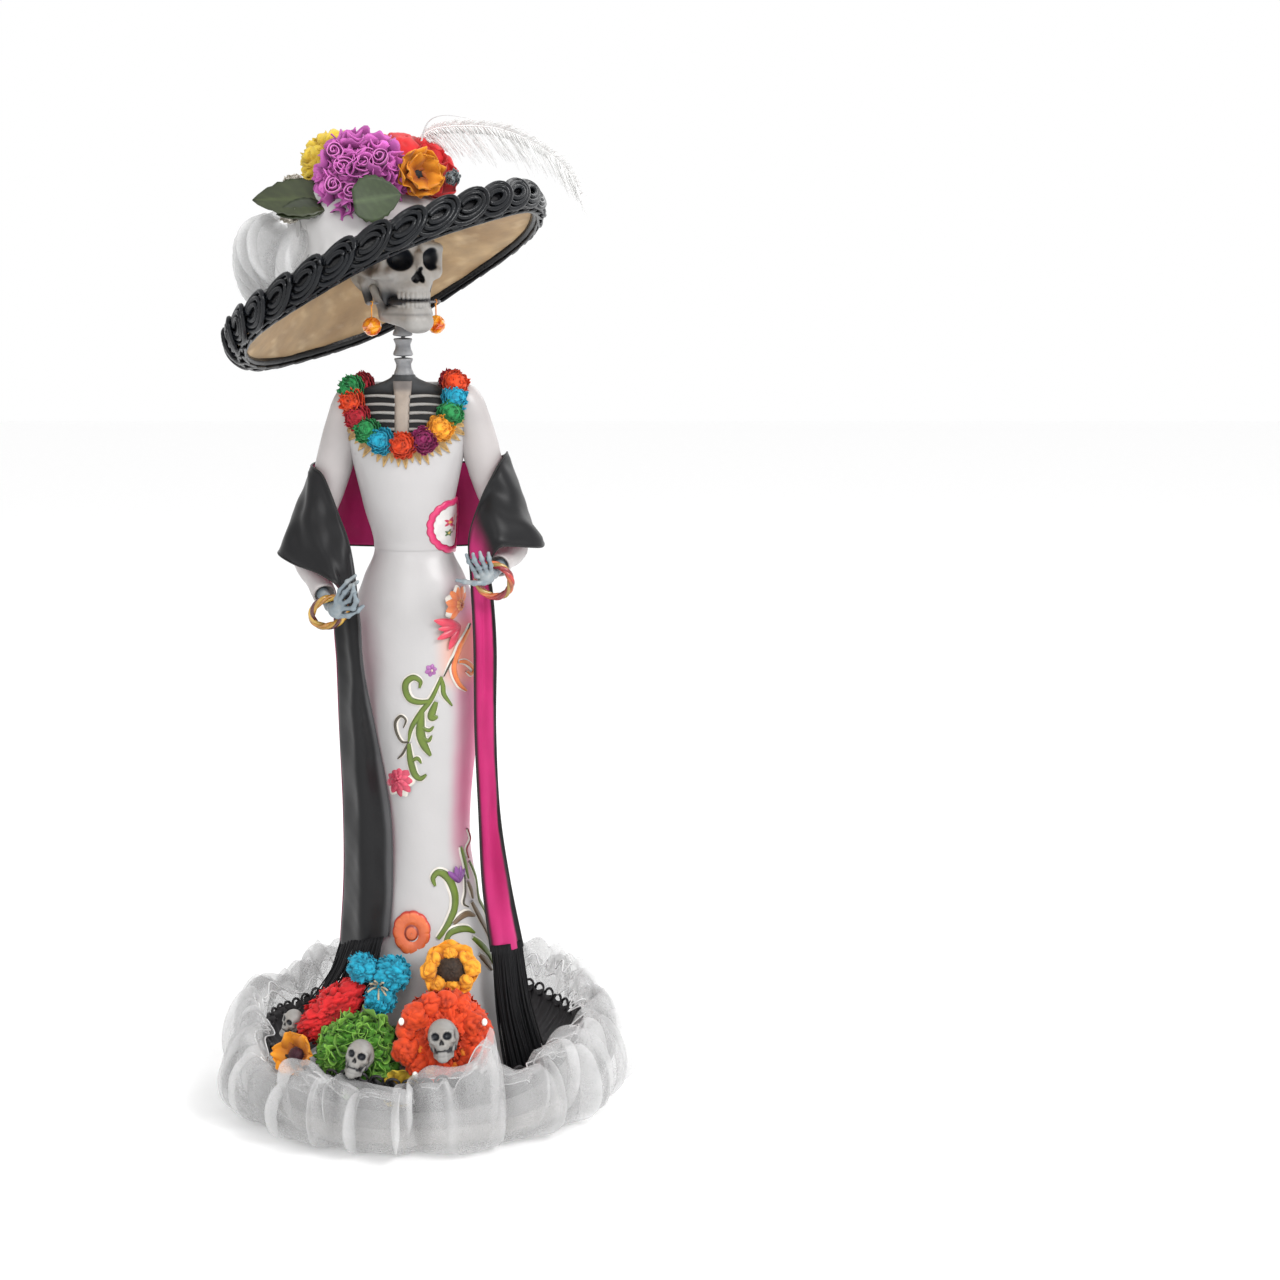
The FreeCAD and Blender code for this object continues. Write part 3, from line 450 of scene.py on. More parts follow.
def studio():
    """Camera, even white surroundings, three lamps and the pale floor."""
    data = bpy.data.cameras.new("camera")
    data.lens = CAMERA_LENS
    data.sensor_width = 36
    data.clip_end = 50
    camera = bpy.data.objects.new("camera", data)
    camera.location = CAMERA_PLACE
    camera.rotation_euler = (math.radians(90 - CAMERA_PITCH), 0, 0)
    bpy.context.scene.collection.objects.link(camera)
    bpy.context.scene.camera = camera
    bpy.context.scene.view_settings.view_transform = "Standard"

    world = bpy.data.worlds.new("studio")
    world.use_nodes = True
    world.node_tree.nodes["Background"].inputs["Color"].default_value = (1, 1, 1, 1)
    world.node_tree.nodes["Background"].inputs["Strength"].default_value = 1.0
    bpy.context.scene.world = world
    area_light("key", (1.6, -1.5, 1.9), (0, 0, 0.4), 1.0, 42)
    area_light("fill", (-0.4, -2.2, 1.4), (0, 0, 0.4), 1.0, 8)
    area_light("rim", (0.9, 1.6, 1.5), (0, 0, 0.5), 1.2, 8)

    half = 6.0
    floor = bpy.data.meshes.new("floor")
    corners = [(-half, -half, 0), (half, -half, 0), (half, half, 0), (-half, half, 0)]
    floor.from_pydata(corners, [], [(0, 1, 2, 3)])
    floor.materials.append(surface("floor_paint", (0.97, 0.97, 0.97), rough=0.8, mottle=0.01, grain=60))
    obj = bpy.data.objects.new("floor", floor)
    bpy.context.scene.collection.objects.link(obj)


studio()


# ---- dress ------------------------------------------------------------------------------

STATIONS = {
    "skirt": (12, 22, 40, 70, 118, 162, 212, 316, 378, 412),
    "bodice": (436, 471, 496, 524, 547),
}
NECKLINE = (-6.5, 555.0, 38.0)      # x and z of the scoop's middle, and its radius
NECK_X = -7                         # middle of the neck and the breastbone
WAIST = 437                         # height of the seam between bodice and skirt
CHEST_LINE = 554                    # above this height the dress is no guide for the chest


def dress_curves():
    """Middle x, half width and half depth of the dress as smooth curves of height."""
    rows = []
    for node, heights in STATIONS.items():
        points = cad_points(node)
        for z in heights:
            ring = points[abs(points[:, 2] - z) < 0.35]
            low, high = ring.min(0), ring.max(0)
            rows.append((z, (low[0] + high[0]) / 2, (high[0] - low[0]) / 2, high[1]))
    rows.append((560, -6.5, 42, 11))
    z, middle_x, width, depth = np.array(rows, float).T
    return monotone(z, middle_x), monotone(z, width), monotone(z, depth)


DRESS_X, DRESS_WIDTH, DRESS_DEPTH = dress_curves()


def dress_point(angle, z, out=0.0):
    """Place on the dress; angle is in degrees from the figure's left (+X) round by its front."""
    a = np.radians(np.asarray(angle, float))
    z = np.asarray(z, float)
    w, d = DRESS_WIDTH(z), DRESS_DEPTH(z)
    along = np.stack([np.cos(a) / np.maximum(w, 1), -np.sin(a) / np.maximum(d, 1)], -1)
    along = unit(along)
    return np.stack([DRESS_X(z) + w * np.cos(a) + out * along[..., 0],
                     -d * np.sin(a) + out * along[..., 1], z + 0 * a], -1)


def dress_front(x, z, out=0.0):
    """Place on the front of the dress at (x, z)."""
    share = np.clip((np.asarray(x, float) - DRESS_X(z)) / DRESS_WIDTH(z), -0.999, 0.999)
    return dress_point(np.degrees(np.arccos(share)), z, out)


def neckline_height(angle, upper=560.0):
    """Top of the bodice at an angle: the scoop at the front, the shoulder line elsewhere."""
    x = dress_point(angle, 540.0)[..., 0]
    drop = NECKLINE[2] ** 2 - (x - NECKLINE[0]) ** 2
    scoop = NECKLINE[1] - np.sqrt(np.maximum(drop, 0))
    front = np.sin(np.radians(angle)) > 0
    return np.where(front & (drop > 0), scoop, upper)


def shell(outer, inner, bag, tint_out, tint_in):
    """Two grids that run round the piece, joined at both rims."""
    whole = np.concatenate([outer, inner[::-1], outer[:1]], axis=0)
    tints = np.concatenate([tint_out, tint_in[::-1], tint_out[:1]], axis=0)
    bag.grid(whole, tints, around=True)


def dress_tint(points, angle, z):
    """White, with magenta and a little orange sprayed along the front left edge."""
    side, ahead = np.cos(np.radians(angle)), np.sin(np.radians(angle))
    front = smoothstep(-0.85, -0.2, ahead)
    height = smoothstep(150, 215, z) * (1 - smoothstep(372, 425, z))
    edge = smoothstep(0.48, 0.92, side + 0.05 * wander(points, 5, 26)) * front
    edge = edge * height * (1 - 0.25 * smoothstep(240, 200, z))
    tint = mix(WHITE, (0.52, 0.035, 0.17), np.clip(edge, 0, 1) * 0.92)
    orange = smoothstep(326, 345, z) * (1 - smoothstep(366, 392, z))
    orange = orange * smoothstep(0.28, 0.66, side) * (1 - smoothstep(0.85, 0.98, side)) * (ahead > 0)
    return mix(tint, (0.80, 0.24, 0.10), orange * 0.55)


def dress():
    """Skirt and bodice; returns the painted cloth's material."""
    cloth = surface("dress_paint", rough=0.42, mottle=0.05, mottle_scale=22, grain=420,
                    grain_depth=0.00010, lumps=0.0012, lump_scale=28, coat=0.15)
    columns = np.linspace(0, 360, 160, endpoint=False)

    z = np.concatenate([np.linspace(12, 60, 26), np.linspace(62, 437.5, 150)])
    angle, height = np.meshgrid(columns, z)
    bag = Bag()
    flare = 1.8 * (1 - smoothstep(18, 90, height)) * np.sin(np.radians(angle) * 9)
    outer = dress_point(angle, height, flare)
    outer = outer + 0.35 * grid_normals(outer) * wander(outer, 2, 30)[..., None]
    inner = dress_point(angle, height, -3)
    shell(outer, inner, bag, dress_tint(outer, angle, height), np.broadcast_to(WHITE, outer.shape))
    bag.piece("skirt_skin", cloth, "figure", replaces=["skirt"], slot="white_dress")

    bag = Bag()
    top = neckline_height(columns)
    share = np.linspace(0, 1, 70)[:, None]
    height = 435 + share * (top - 435)
    angle = np.broadcast_to(columns, height.shape)
    # the bodice overlaps the skirt with a soft turned edge at the waist
    lip = 0.3 * hump(height, WAIST, 2.2)
    outer = dress_point(angle, height, 0.5 + lip)
    outer = outer + 0.3 * grid_normals(outer) * wander(outer, 3, 24)[..., None]
    inner = dress_point(angle, height, -2.2)
    white = np.broadcast_to(WHITE, outer.shape)
    shell(outer, inner, bag, white, white)
    bag.piece("bodice_skin", cloth, "figure", replaces=["bodice"], slot="white_dress")
    return cloth


# ---- chest, ribs and neck ---------------------------------------------------------------

def chest():
    """Black chest in the neckline, the ribs painted on it and the breastbone."""
    columns = np.linspace(0, 360, 120, endpoint=False)
    share = np.linspace(0, 1, 46)[:, None]
    z = 498 + share * 68
    angle = np.broadcast_to(columns, (46, 120))
    a = np.radians(angle)
    skin = dress_point(angle, np.minimum(z, CHEST_LINE), -2.6)
    close = smoothstep(0.74, 1.0, share)
    neck = np.stack([NECK_X + 8.5 * np.cos(a), -7.5 * np.sin(a), z + 0 * a], -1)
    skin = skin * (1 - close[..., None]) + neck * close[..., None]
    skin[..., 2] = z + 0.5 * np.sin(share * 3)
    yoke = smoothstep(551, 559, skin[..., 2])
    tint = mix((0.010, 0.010, 0.011), (0.055, 0.058, 0.062), yoke)
    bag = Bag()
    bag.grid(skin, tint, around=True)
    for row, turn in ((0, True), (-1, False)):
        centre = skin[row].mean(0)
        fan = np.vstack([skin[row], centre])
        k = np.arange(120)
        faces = np.stack([k, (k + 1) % 120, np.full(120, 120)], 1)
        bag.add(fan, faces[:, ::-1] if turn else faces, tint[row][0])
    black = surface("chest_paint", rough=0.5, mottle=0.3, specular=0.2)
    bag.piece("chest_skin", black, "figure", replaces=["chest"], slot="chest_black")

    bone = surface("rib_paint", rough=0.55, mottle=0.22, mottle_scale=120, grain=1400, lumps=0.0003,
                   lump_scale=400)
    ribs = Bag()
    for number in range(5):
        for side in (-1, 1):
            reach = (30, 32, 33, 31, 26)[number] + (3 if side < 0 else 0)
            x = NECK_X + side * np.linspace(5.5, reach, 22)
            t = np.linspace(0, 1, 22)
            drop = (0.3, 1.0, 2.0, 3.2, 4.5)[number]
            z = 550.5 - number * 5.9 - drop * t ** 1.4 + 0.9 * np.sin(t * math.pi)
            keep = (x - NECKLINE[0]) ** 2 + (z - NECKLINE[1]) ** 2 < 40 ** 2
            path = dress_front(x, np.minimum(z, CHEST_LINE), -1.9)
            path[:, 2] = z
            t = t[keep]
            tint = mix(BONE, (0.10, 0.095, 0.09), smoothstep(0.55, 1.0, t) * 0.8)
            ribs.tube(path[keep], 1.15 - 0.35 * t, tint, sides=8, flat=1.15)
    ribs.piece("rib_bones", bone, "figure", replaces=["ribs"], slot="bone")

    plate = Bag()
    rows, cols = 44, 15
    v, u = patch_grid(rows, cols)
    half = 5.6 + 1.5 * smoothstep(0.55, 1, v) + 0.8 * smoothstep(0.25, 0.0, v)
    x = NECK_X + u * half
    z = 516 + v * 46
    face = dress_front(x, np.minimum(z, CHEST_LINE), -0.6 - 1.6 * np.abs(u) ** 4)
    face[..., 2] = z
    face = face + 0.25 * wander(face, 8, 7)[..., None] * np.array([0, 1, 0])
    back = face + np.array([0, 2.6, 0])
    tint = mix((0.34, 0.285, 0.24), (0.13, 0.10, 0.085), np.abs(u) ** 5 * 0.6)
    tint = mix(tint, (0.16, 0.14, 0.13), smoothstep(0.80, 0.90, v))
    plate.grid(face, tint)
    plate.add(back, grid_faces(rows, cols)[:, ::-1], (0.13, 0.10, 0.085))
    edge = np.concatenate([np.arange(cols), np.arange(1, rows) * cols + cols - 1,
                           (rows - 1) * cols + np.arange(cols - 2, -1, -1),
                           np.arange(rows - 2, 0, -1) * cols])
    k = np.arange(len(edge))
    rim = np.stack([edge, edge + rows * cols, np.roll(edge, -1) + rows * cols, np.roll(edge, -1)], 1)
    plate.add(np.vstack([face.reshape(-1, 3), back.reshape(-1, 3)]), rim, (0.14, 0.11, 0.09))
    plate.piece("sternum_plate", bone, "figure", replaces=["sternum"], slot="bone")


def vertebrae():
    """The three grey neck bones, each a waisted drum."""
    bone = surface("neck_paint", rough=0.45, mottle=0.25, mottle_scale=140, grain=1500, lumps=0.0002,
                   lump_scale=500)
    shares = (0.0, 0.02, 0.10, 0.22, 0.42, 0.62, 0.80, 0.92, 0.99, 1.0)
    radii = (2.0, 6.0, 7.4, 7.1, 5.9, 5.6, 6.5, 7.0, 5.8, 2.0)
    share = np.linspace(0, 1, 26)
    radius = monotone(shares, radii)(share)
    angle = np.radians(np.linspace(0, 360, 40, endpoint=False))
    for number in (1, 2, 3):
        node = "vertebra_%d" % number
        low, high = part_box(node)
        z0, z1 = low[2] / MM, high[2] / MM
        centre = middle(node)
        ring = radius[:, None] * (1 + 0.05 * np.cos(3 * angle + number))
        grid = np.stack([centre[0] + ring * np.cos(angle), centre[1] + ring * np.sin(angle) * 0.95,
                         z0 + (z1 - z0) * share[:, None] + 0 * ring], -1)
        dark = 1 - smoothstep(0.0, 0.10, share) * (1 - smoothstep(0.93, 1.0, share))
        shade = mix((0.25, 0.255, 0.265), (0.012, 0.012, 0.014), dark)
        shade = mix(shade, (0.12, 0.125, 0.135), hump(share, 0.52, 0.16) * 0.6)
        bag = Bag()
        bag.grid(grid, np.repeat(shade, 40, axis=0), around=True)
        bag.piece("neck_bone_%d" % number, bone, "figure", replaces=[node], slot="grey_bone")


# ---- arms -------------------------------------------------------------------------------

def joint(name):
    """Place in millimetres and axis of a joint of the CAD model."""
    found = [j for j in frame["joints"] if j["name"] == name][0]
    place = np.array(found.get("pos_m", (0, 0, 0))) / MM
    return place, unit(found["axis"])


def arm_places(side):
    """Shoulder, elbow, cuff and wrist of one arm."""
    wrist, towards_hand = joint("bangle_%s_swing" % side)
    low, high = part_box("sleeve_" + side)
    if side == "right":
        elbow_x, shoulder_x = low[0] / MM + 12, -49.0
    else:
        elbow_x, shoulder_x = high[0] / MM - 12, 41.0
    elbow = wrist + towards_hand * (elbow_x - wrist[0]) / towards_hand[0]
    shoulder = np.array([shoulder_x, 0, high[2] / MM - 14.0])
    return shoulder, elbow, wrist - towards_hand * 15, wrist


def sleeves(cloth):
    """Both sleeves, creased at the elbow and hollow at the cuff."""
    for side in ("right", "left"):
        shoulder, elbow, cuff = arm_places(side)[:3]
        inward = np.array([1.0 if side == "right" else -1.0, 0, 0])
        path = spline([shoulder + inward * 6 + (0, 0, 5), shoulder, mix(shoulder, elbow, 0.5) + 2.5 * inward,
                       elbow + 0.12 * (shoulder - elbow), elbow + 0.16 * (cuff - elbow),
                       mix(elbow, cuff, 0.6), cuff], 64)
        t = np.linspace(0, 1, 64)
        radius = monotone((0, 0.10, 0.24, 0.42, 0.60, 0.74, 0.9, 1.0),
                          (6, 12.5, 14.0, 13.0, 12.2, 11.4, 9.0, 8.8))(t)
        along = unit(np.gradient(path, axis=0))
        across = unit(np.cross(along, np.array([0.0, 1.0, 0.15])))
        rise = np.cross(across, along)
        angle = np.radians(np.linspace(0, 360, 40, endpoint=False))
        ring = across[:, None] * np.cos(angle)[:, None] + rise[:, None] * np.sin(angle)[:, None]
        grid = path[:, None] + ring * radius[:, None, None]
        crease = (hump(t, 0.60, 0.10) * np.sin(t * 95))[:, None] * (0.5 + 0.5 * np.cos(angle - 1))
        grid = grid + ring * (0.55 * crease + 0.5 * wander(grid, 4, 15))[..., None]
        inner = path[-4:, None] + ring[-4:] * (radius[-4:, None, None] - 1.3)
        inner[0] = path[-4]
        whole = np.concatenate([grid, inner[::-1]], axis=0)
        tint = mix((0.45, 0.42, 0.415), (0.32, 0.30, 0.30), np.clip(0.3 * wander(whole, 9, 18) + 0.25, 0, 1))
        tint[len(path):] = (0.38, 0.36, 0.355)
        bag = Bag()
        bag.grid(whole, tint, around=True)
        bag.piece("sleeve_cloth_" + side, cloth, "figure", replaces=["sleeve_" + side], slot="white_dress")


# ---- shawl ------------------------------------------------------------------------------

SHAWL_ROWS = (
    ((-25, -52, 138), (-44, -42, 132), (-63, -12, 124)),
    ((-26, -50, 178), (-42, -42, 178), (-59, -12, 178)),
    ((-28, -46, 235), (-42, -40, 235), (-58, -14, 235)),
    ((-33, -47, 300), (-44, -42, 300), (-59, -18, 300)),
    ((-37, -45, 350), (-46, -40, 350), (-59, -24, 350)),
    ((-40, -38, 388), (-50, -33, 386), (-60, -26, 384)),
    ((-46, -32, 436), (-52, -42, 420), (-53, -46, 409)),
    ((-56, -24, 464), (-65, -36, 440), (-67, -46, 421)),
    ((-67, -16, 490), (-80, -26, 458), (-89, -28, 426)),
    ((-75, -8, 496), (-88, -14, 463), (-102, -18, 432)),
    ((-79, 6, 497), (-91, 8, 464), (-104, 10, 432)),
    ((-74, 24, 498), (-88, 26, 466), (-99, 28, 434)),
    ((-58, 38, 496), (-64, 42, 463), (-69, 42, 431)),
    ((-25, 40, 495), (-26, 42, 463), (-28, 42, 430)),
    ((14, 40, 495), (14, 42, 463), (15, 42, 430)),
    ((45, 38, 497), (48, 42, 464), (51, 42, 432)),
    ((65, 24, 502), (75, 28, 470), (82, 30, 441)),
    ((70, 6, 507), (82, 8, 472), (94, 10, 441)),
    ((67, -8, 503), (80, -16, 469), (97, -19, 438)),
    ((61, -18, 493), (70, -30, 463), (78, -38, 441)),
    ((52, -24, 475), (59, -38, 456), (66, -46, 441)),
    ((43, -30, 447), (51, -38, 435), (58, -41, 426)),
    ((44, -32, 416), (52, -33, 410), (60, -33, 404)),
    ((46, -36, 370), (54, -34, 366), (62, -30, 362)),
    ((46, -36, 300), (54, -34, 300), (61, -30, 300)),
    ((48, -34, 235), (56, -32, 235), (63, -26, 235)),
    ((50, -34, 180), (60, -32, 180), (70, -24, 180)),
    ((56, -36, 125), (68, -34, 125), (80, -22, 125)),
)
FRINGE_ROWS = {
    "right": (((-25, -51, 142), (-43.5, -42, 136), (-62, -12, 128)),
              ((-34, -62, 112), (-54, -50, 108), (-70, -18, 104)),
              ((-60, -56, 84), (-74, -50, 80), (-84, -26, 78))),
    "left": (((56, -36, 130), (67, -34, 130), (79, -22, 130)),
             ((62, -42, 80), (72, -40, 80), (84, -26, 80)),
             ((72, -52, 28), (84, -46, 27), (96, -30, 27))),
}


def fine_rows(rows, row_count, col_count):
    """Smooth grid through rows of points."""
    rows = np.asarray(rows, float)
    along = np.stack([spline(rows[:, k], row_count) for k in range(rows.shape[1])], 1)
    return np.stack([spline(row, col_count) for row in along])


def shawl():
    """Black satin with a magenta lining: tail, right arm, back, left arm, tail; with hems and fringes."""
    rows, cols = 300, 30
    corners = np.array(SHAWL_ROWS, float)
    lap = np.interp(corners[:6, 0, 2], [138, 178, 235, 300, 350], [4, 8, 9, 4, 0])
    edge = dress_front(corners[:6, 0, 0] + lap, corners[:6, 0, 2], 3.2)
    corners[:4, 0, :2] = edge[:4, :2]
    clear_of_dress = dress_front(corners[:4, 1, 0], corners[:4, 1, 2], 3.2)
    corners[:4, 1, 1] = np.minimum(corners[:4, 1, 1], clear_of_dress[:, 1])
    grid = fine_rows(corners, rows, cols)
    normal = grid_normals(grid)
    s = np.linspace(0, 27, rows)[:, None]
    u = np.linspace(0, 1, cols)[None, :]
    calm = smoothstep(0, 0.08, u) * smoothstep(1, 0.92, u)
    tails = 1 - smoothstep(5, 7.5, s) * (1 - smoothstep(20, 22, s))
    over_arms = hump(s, 8.2, 2.0) + hump(s, 18.7, 2.0)
    folds = 0.9 * tails * np.sin(u * 11 + 0.35 * np.sin(s * 1.2) + s * 0.10)
    folds += 1.5 * over_arms * np.sin(u * 9 + s * 2.6 + 1.3 * wander(grid, 15, 30))
    folds += 1.1 * wander(grid, 12, 16)
    satin = (s > 20.5) * 0.25 * np.sin(u * 16 + s * 3.0 + 2 * wander(grid, 13, 40))
    grid = grid + normal * ((folds + satin) * calm)[..., None]
    normal = grid_normals(grid)
    half = 0.45
    outside, lining = grid - normal * half, grid + normal * half
    black = np.array([0.012, 0.012, 0.013])
    streak = np.clip(0.5 + 0.6 * wander(grid * np.array([3.0, 3.0, 0.6]), 14, 30), 0, 1)
    magenta = mix((0.33, 0.007, 0.085), (0.50, 0.03, 0.16), streak)
    wine = np.array([0.055, 0.010, 0.022])
    turned = smoothstep(20.2, 21.2, s)[..., None]
    edge_outer = smoothstep(0.80, 0.90, u)[..., None] * turned
    edge_inner = smoothstep(0.16, 0.06, u)[..., None] * turned
    face = black * (1 - turned) + magenta * turned
    face = face * (1 - edge_inner) + wine * edge_inner
    face = face * (1 - edge_outer) + black * edge_outer
    back = magenta * (1 - turned) + black * turned
    rolled = smoothstep(0.13, 0.05, u)[..., None] * (s < 6)[..., None]
    face = face * (1 - rolled) + np.array([0.075, 0.075, 0.078]) * rolled
    whole = np.concatenate([outside, lining[:, ::-1]], axis=1)
    tint = np.concatenate([face + 0 * outside, (back + 0 * outside)[:, ::-1]], axis=1)
    bag = Bag()
    bag.grid(whole, tint, around=True)
    for row, turn in ((0, False), (-1, True)):
        loop = whole[row]
        k = np.arange(cols - 1)
        faces = np.stack([k, k + 1, 2 * cols - 2 - k, 2 * cols - 1 - k], 1)
        bag.add(loop, faces[:, ::-1] if turn else faces, black)
    satin_cloth = surface("shawl_satin", rough=0.38, mottle=0.16, mottle_scale=30, grain=1600,
                          grain_depth=0.00006, sheen=0.04, stretch=(1, 1, 0.25), specular=0.16)
    cloth = bag.piece("shawl_cloth", satin_cloth, "figure", replaces=["shawl"], slot="black_satin")

    # rolled hems, black but for the right tail, whose outer one is magenta
    hems = Bag()
    beyond_tail = smoothstep(5, 6.5, s[:, 0])
    for column, tail_tone in ((-1, (0.30, 0.008, 0.08)), (0, (0.06, 0.06, 0.062))):
        hems.tube(grid[:, column], 0.8, mix(tail_tone, (0.02, 0.02, 0.02), beyond_tail), sides=6)
    hem = hems.piece("shawl_hems", satin_cloth, "figure")

    threads = Bag()
    rng = np.random.default_rng(4)
    for side, count in (("right", 90), ("left", 150)):
        fall = fine_rows(FRINGE_ROWS[side], 14, 40)
        outward = np.array([-0.3, -0.5, 0]) if side == "right" else np.array([0.25, -0.3, 0])
        for number in range(count):
            share = (number + rng.uniform(-0.3, 0.3)) / (count - 1)
            k = np.clip(share, 0, 1) * 39
            low = int(min(k, 38))
            path = fall[:, low] * (1 - (k - low)) + fall[:, low + 1] * (k - low)
            t = np.linspace(0, 1, 14)[:, None]
            path = path + t * rng.normal(size=3) * np.array([2.6, 2.6, 1.2])
            path = path + np.sin(t * 5 + number) * 0.7 * outward
            path = path + t ** 2 * outward * rng.uniform(0, 6)
            path[-1, 2] += rng.uniform(-4, 5)
            tone = rng.uniform(0.6, 1.5)
            threads.tube(path, 0.62, np.array([0.008, 0.008, 0.009]) * tone, sides=5)
    thread = surface("fringe_thread", rough=0.6, mottle=0.2, grain=2500, specular=0.15)
    tassels = threads.piece("shawl_fringe", thread, "figure", replaces=["fringe"], slot="black_thread")

    length = float(np.linalg.norm(np.diff(grid[:, cols // 2], axis=0), axis=1).sum() * MM)


# ---- hat --------------------------------------------------------------------------------

def hat_place():
    """Middle of the brim's circle and the hat's across, fore-and-aft and upward directions."""
    axis = joint("hat_lift")[1]
    points = cad_points("hat_shell")
    height = points @ axis
    rim = points[height < height.min() + 0.4]
    across = unit(np.cross((0, 1, 0), axis))
    return rim.mean(0), across, np.cross(axis, across), axis


HAT_MIDDLE, HAT_ACROSS, HAT_DEEP, HAT_AXIS = hat_place()
HAT_RISE = monotone([0, 20, 35, 47, 53, 62, 84, 108, 127], [84, 84, 82, 73, 52, 34, 17, 5, 0])
HAT_EDGE = 127.0


def round_hat(radius, angle, height):
    """Place by its distance from the hat's axis, its angle in degrees and its height along the axis."""
    a = np.radians(angle)
    return (HAT_MIDDLE + (radius * np.cos(a))[..., None] * HAT_ACROSS
            + (radius * np.sin(a))[..., None] * HAT_DEEP + height[..., None] * HAT_AXIS)


def hat_point(radius, angle, lift=0.0):
    """Place on the underside of the hat, `lift` above it along the hat's axis. Angle in degrees."""
    radius, a = np.asarray(radius, float), np.radians(np.asarray(angle, float))
    wave = 1.6 * np.sin(2 * a + 0.6) + 0.9 * np.sin(5 * a + 2.0)
    return round_hat(radius, angle, HAT_RISE(radius) + lift + wave * (radius / HAT_EDGE) ** 3)


def hat_shell():
    """Tan papier-mache crown and brim, and the gathered white cloth that covers them."""
    angle, radius = np.meshgrid(np.linspace(0, 360, 180, endpoint=False),
                                np.concatenate([np.linspace(0.5, 60, 36), np.linspace(62, HAT_EDGE, 40)]))
    steep = 1 + 2.2 * hump(radius, 52, 8)
    under = hat_point(radius, angle)
    under = under + 0.45 * wander(under, 20, 9)[..., None] * HAT_AXIS
    inside = hat_point(radius, angle, 2.4 * steep)
    patches = np.clip(0.5 + 0.55 * wander(under, 21, 24), 0, 1)
    tan = mix((0.46, 0.315, 0.165), (0.30, 0.185, 0.085), patches)
    tan = mix(tan, (0.60, 0.44, 0.26), np.clip(0.9 * wander(under, 22, 11) - 0.25, 0, 1))
    # painted shade: the underside darkens towards the middle, up inside the crown
    tan = tan * (0.42 + 0.58 * smoothstep(30, 70, radius))[..., None]
    bag = Bag()
    whole = np.concatenate([under, inside[::-1]], axis=0)
    bag.grid(whole[:, ::-1], np.concatenate([tan, tan[::-1] * 0.6])[:, ::-1], around=True)
    paper = surface("hat_mache", rough=0.62, mottle=0.22, mottle_scale=70, grain=500, grain_depth=0.00025,
                    lumps=0.0008, lump_scale=120)
    bag.piece("hat_crown_and_brim", paper, "hat", replaces=["hat_shell"], slot="tan_mache")

    over = hat_point(radius, angle, 2.6 * steep)
    folds = 0.8 * np.sin(np.radians(angle) * 34 + 2 * wander(over, 23, 30)) * smoothstep(50, 75, radius)
    top = hat_point(radius, angle, 2.6 * steep + 1.6 + folds)
    bag = Bag()
    white = mix((0.60, 0.59, 0.585), (0.42, 0.41, 0.405), np.clip(0.4 * wander(top, 24, 18) + 0.2, 0, 1))
    whole = np.concatenate([over, top[::-1]], axis=0)
    bag.grid(whole[:, ::-1], np.concatenate([white, white[::-1]])[:, ::-1], around=True)
    cloth = surface("hat_cloth", rough=0.7, mottle=0.06, grain=1200, sheen=0.2)
    bag.piece("hat_cloth_cover", cloth, "hat", replaces=["hat_cover"], slot="white_dress")


# section of the brim's braid: distance beyond the brim's edge and height above it
BRAID_SECTION = np.array([(-13, 6.5), (-9, 5), (-8.3, -1.2), (-5, -2.6), (-1, -1.6), (1.2, 4), (1.2, 10),
                          (-1, 16), (-5.5, 19.5), (-10.5, 19), (-14, 14.5), (-15, 10)])
# rows of lobes: where on the section, how many, half length, shift in lobes and cord radius
BRAID_ROWS = (((1.2, 8.5), 30, 10.4, 0, 2.0), ((-14.0, 14.5), 30, 5.0, 0.5, 2.0),
              ((-3.0, -2.3), 40, 2.4, 0.2, 1.1))
STRAND_GAP = 3.2


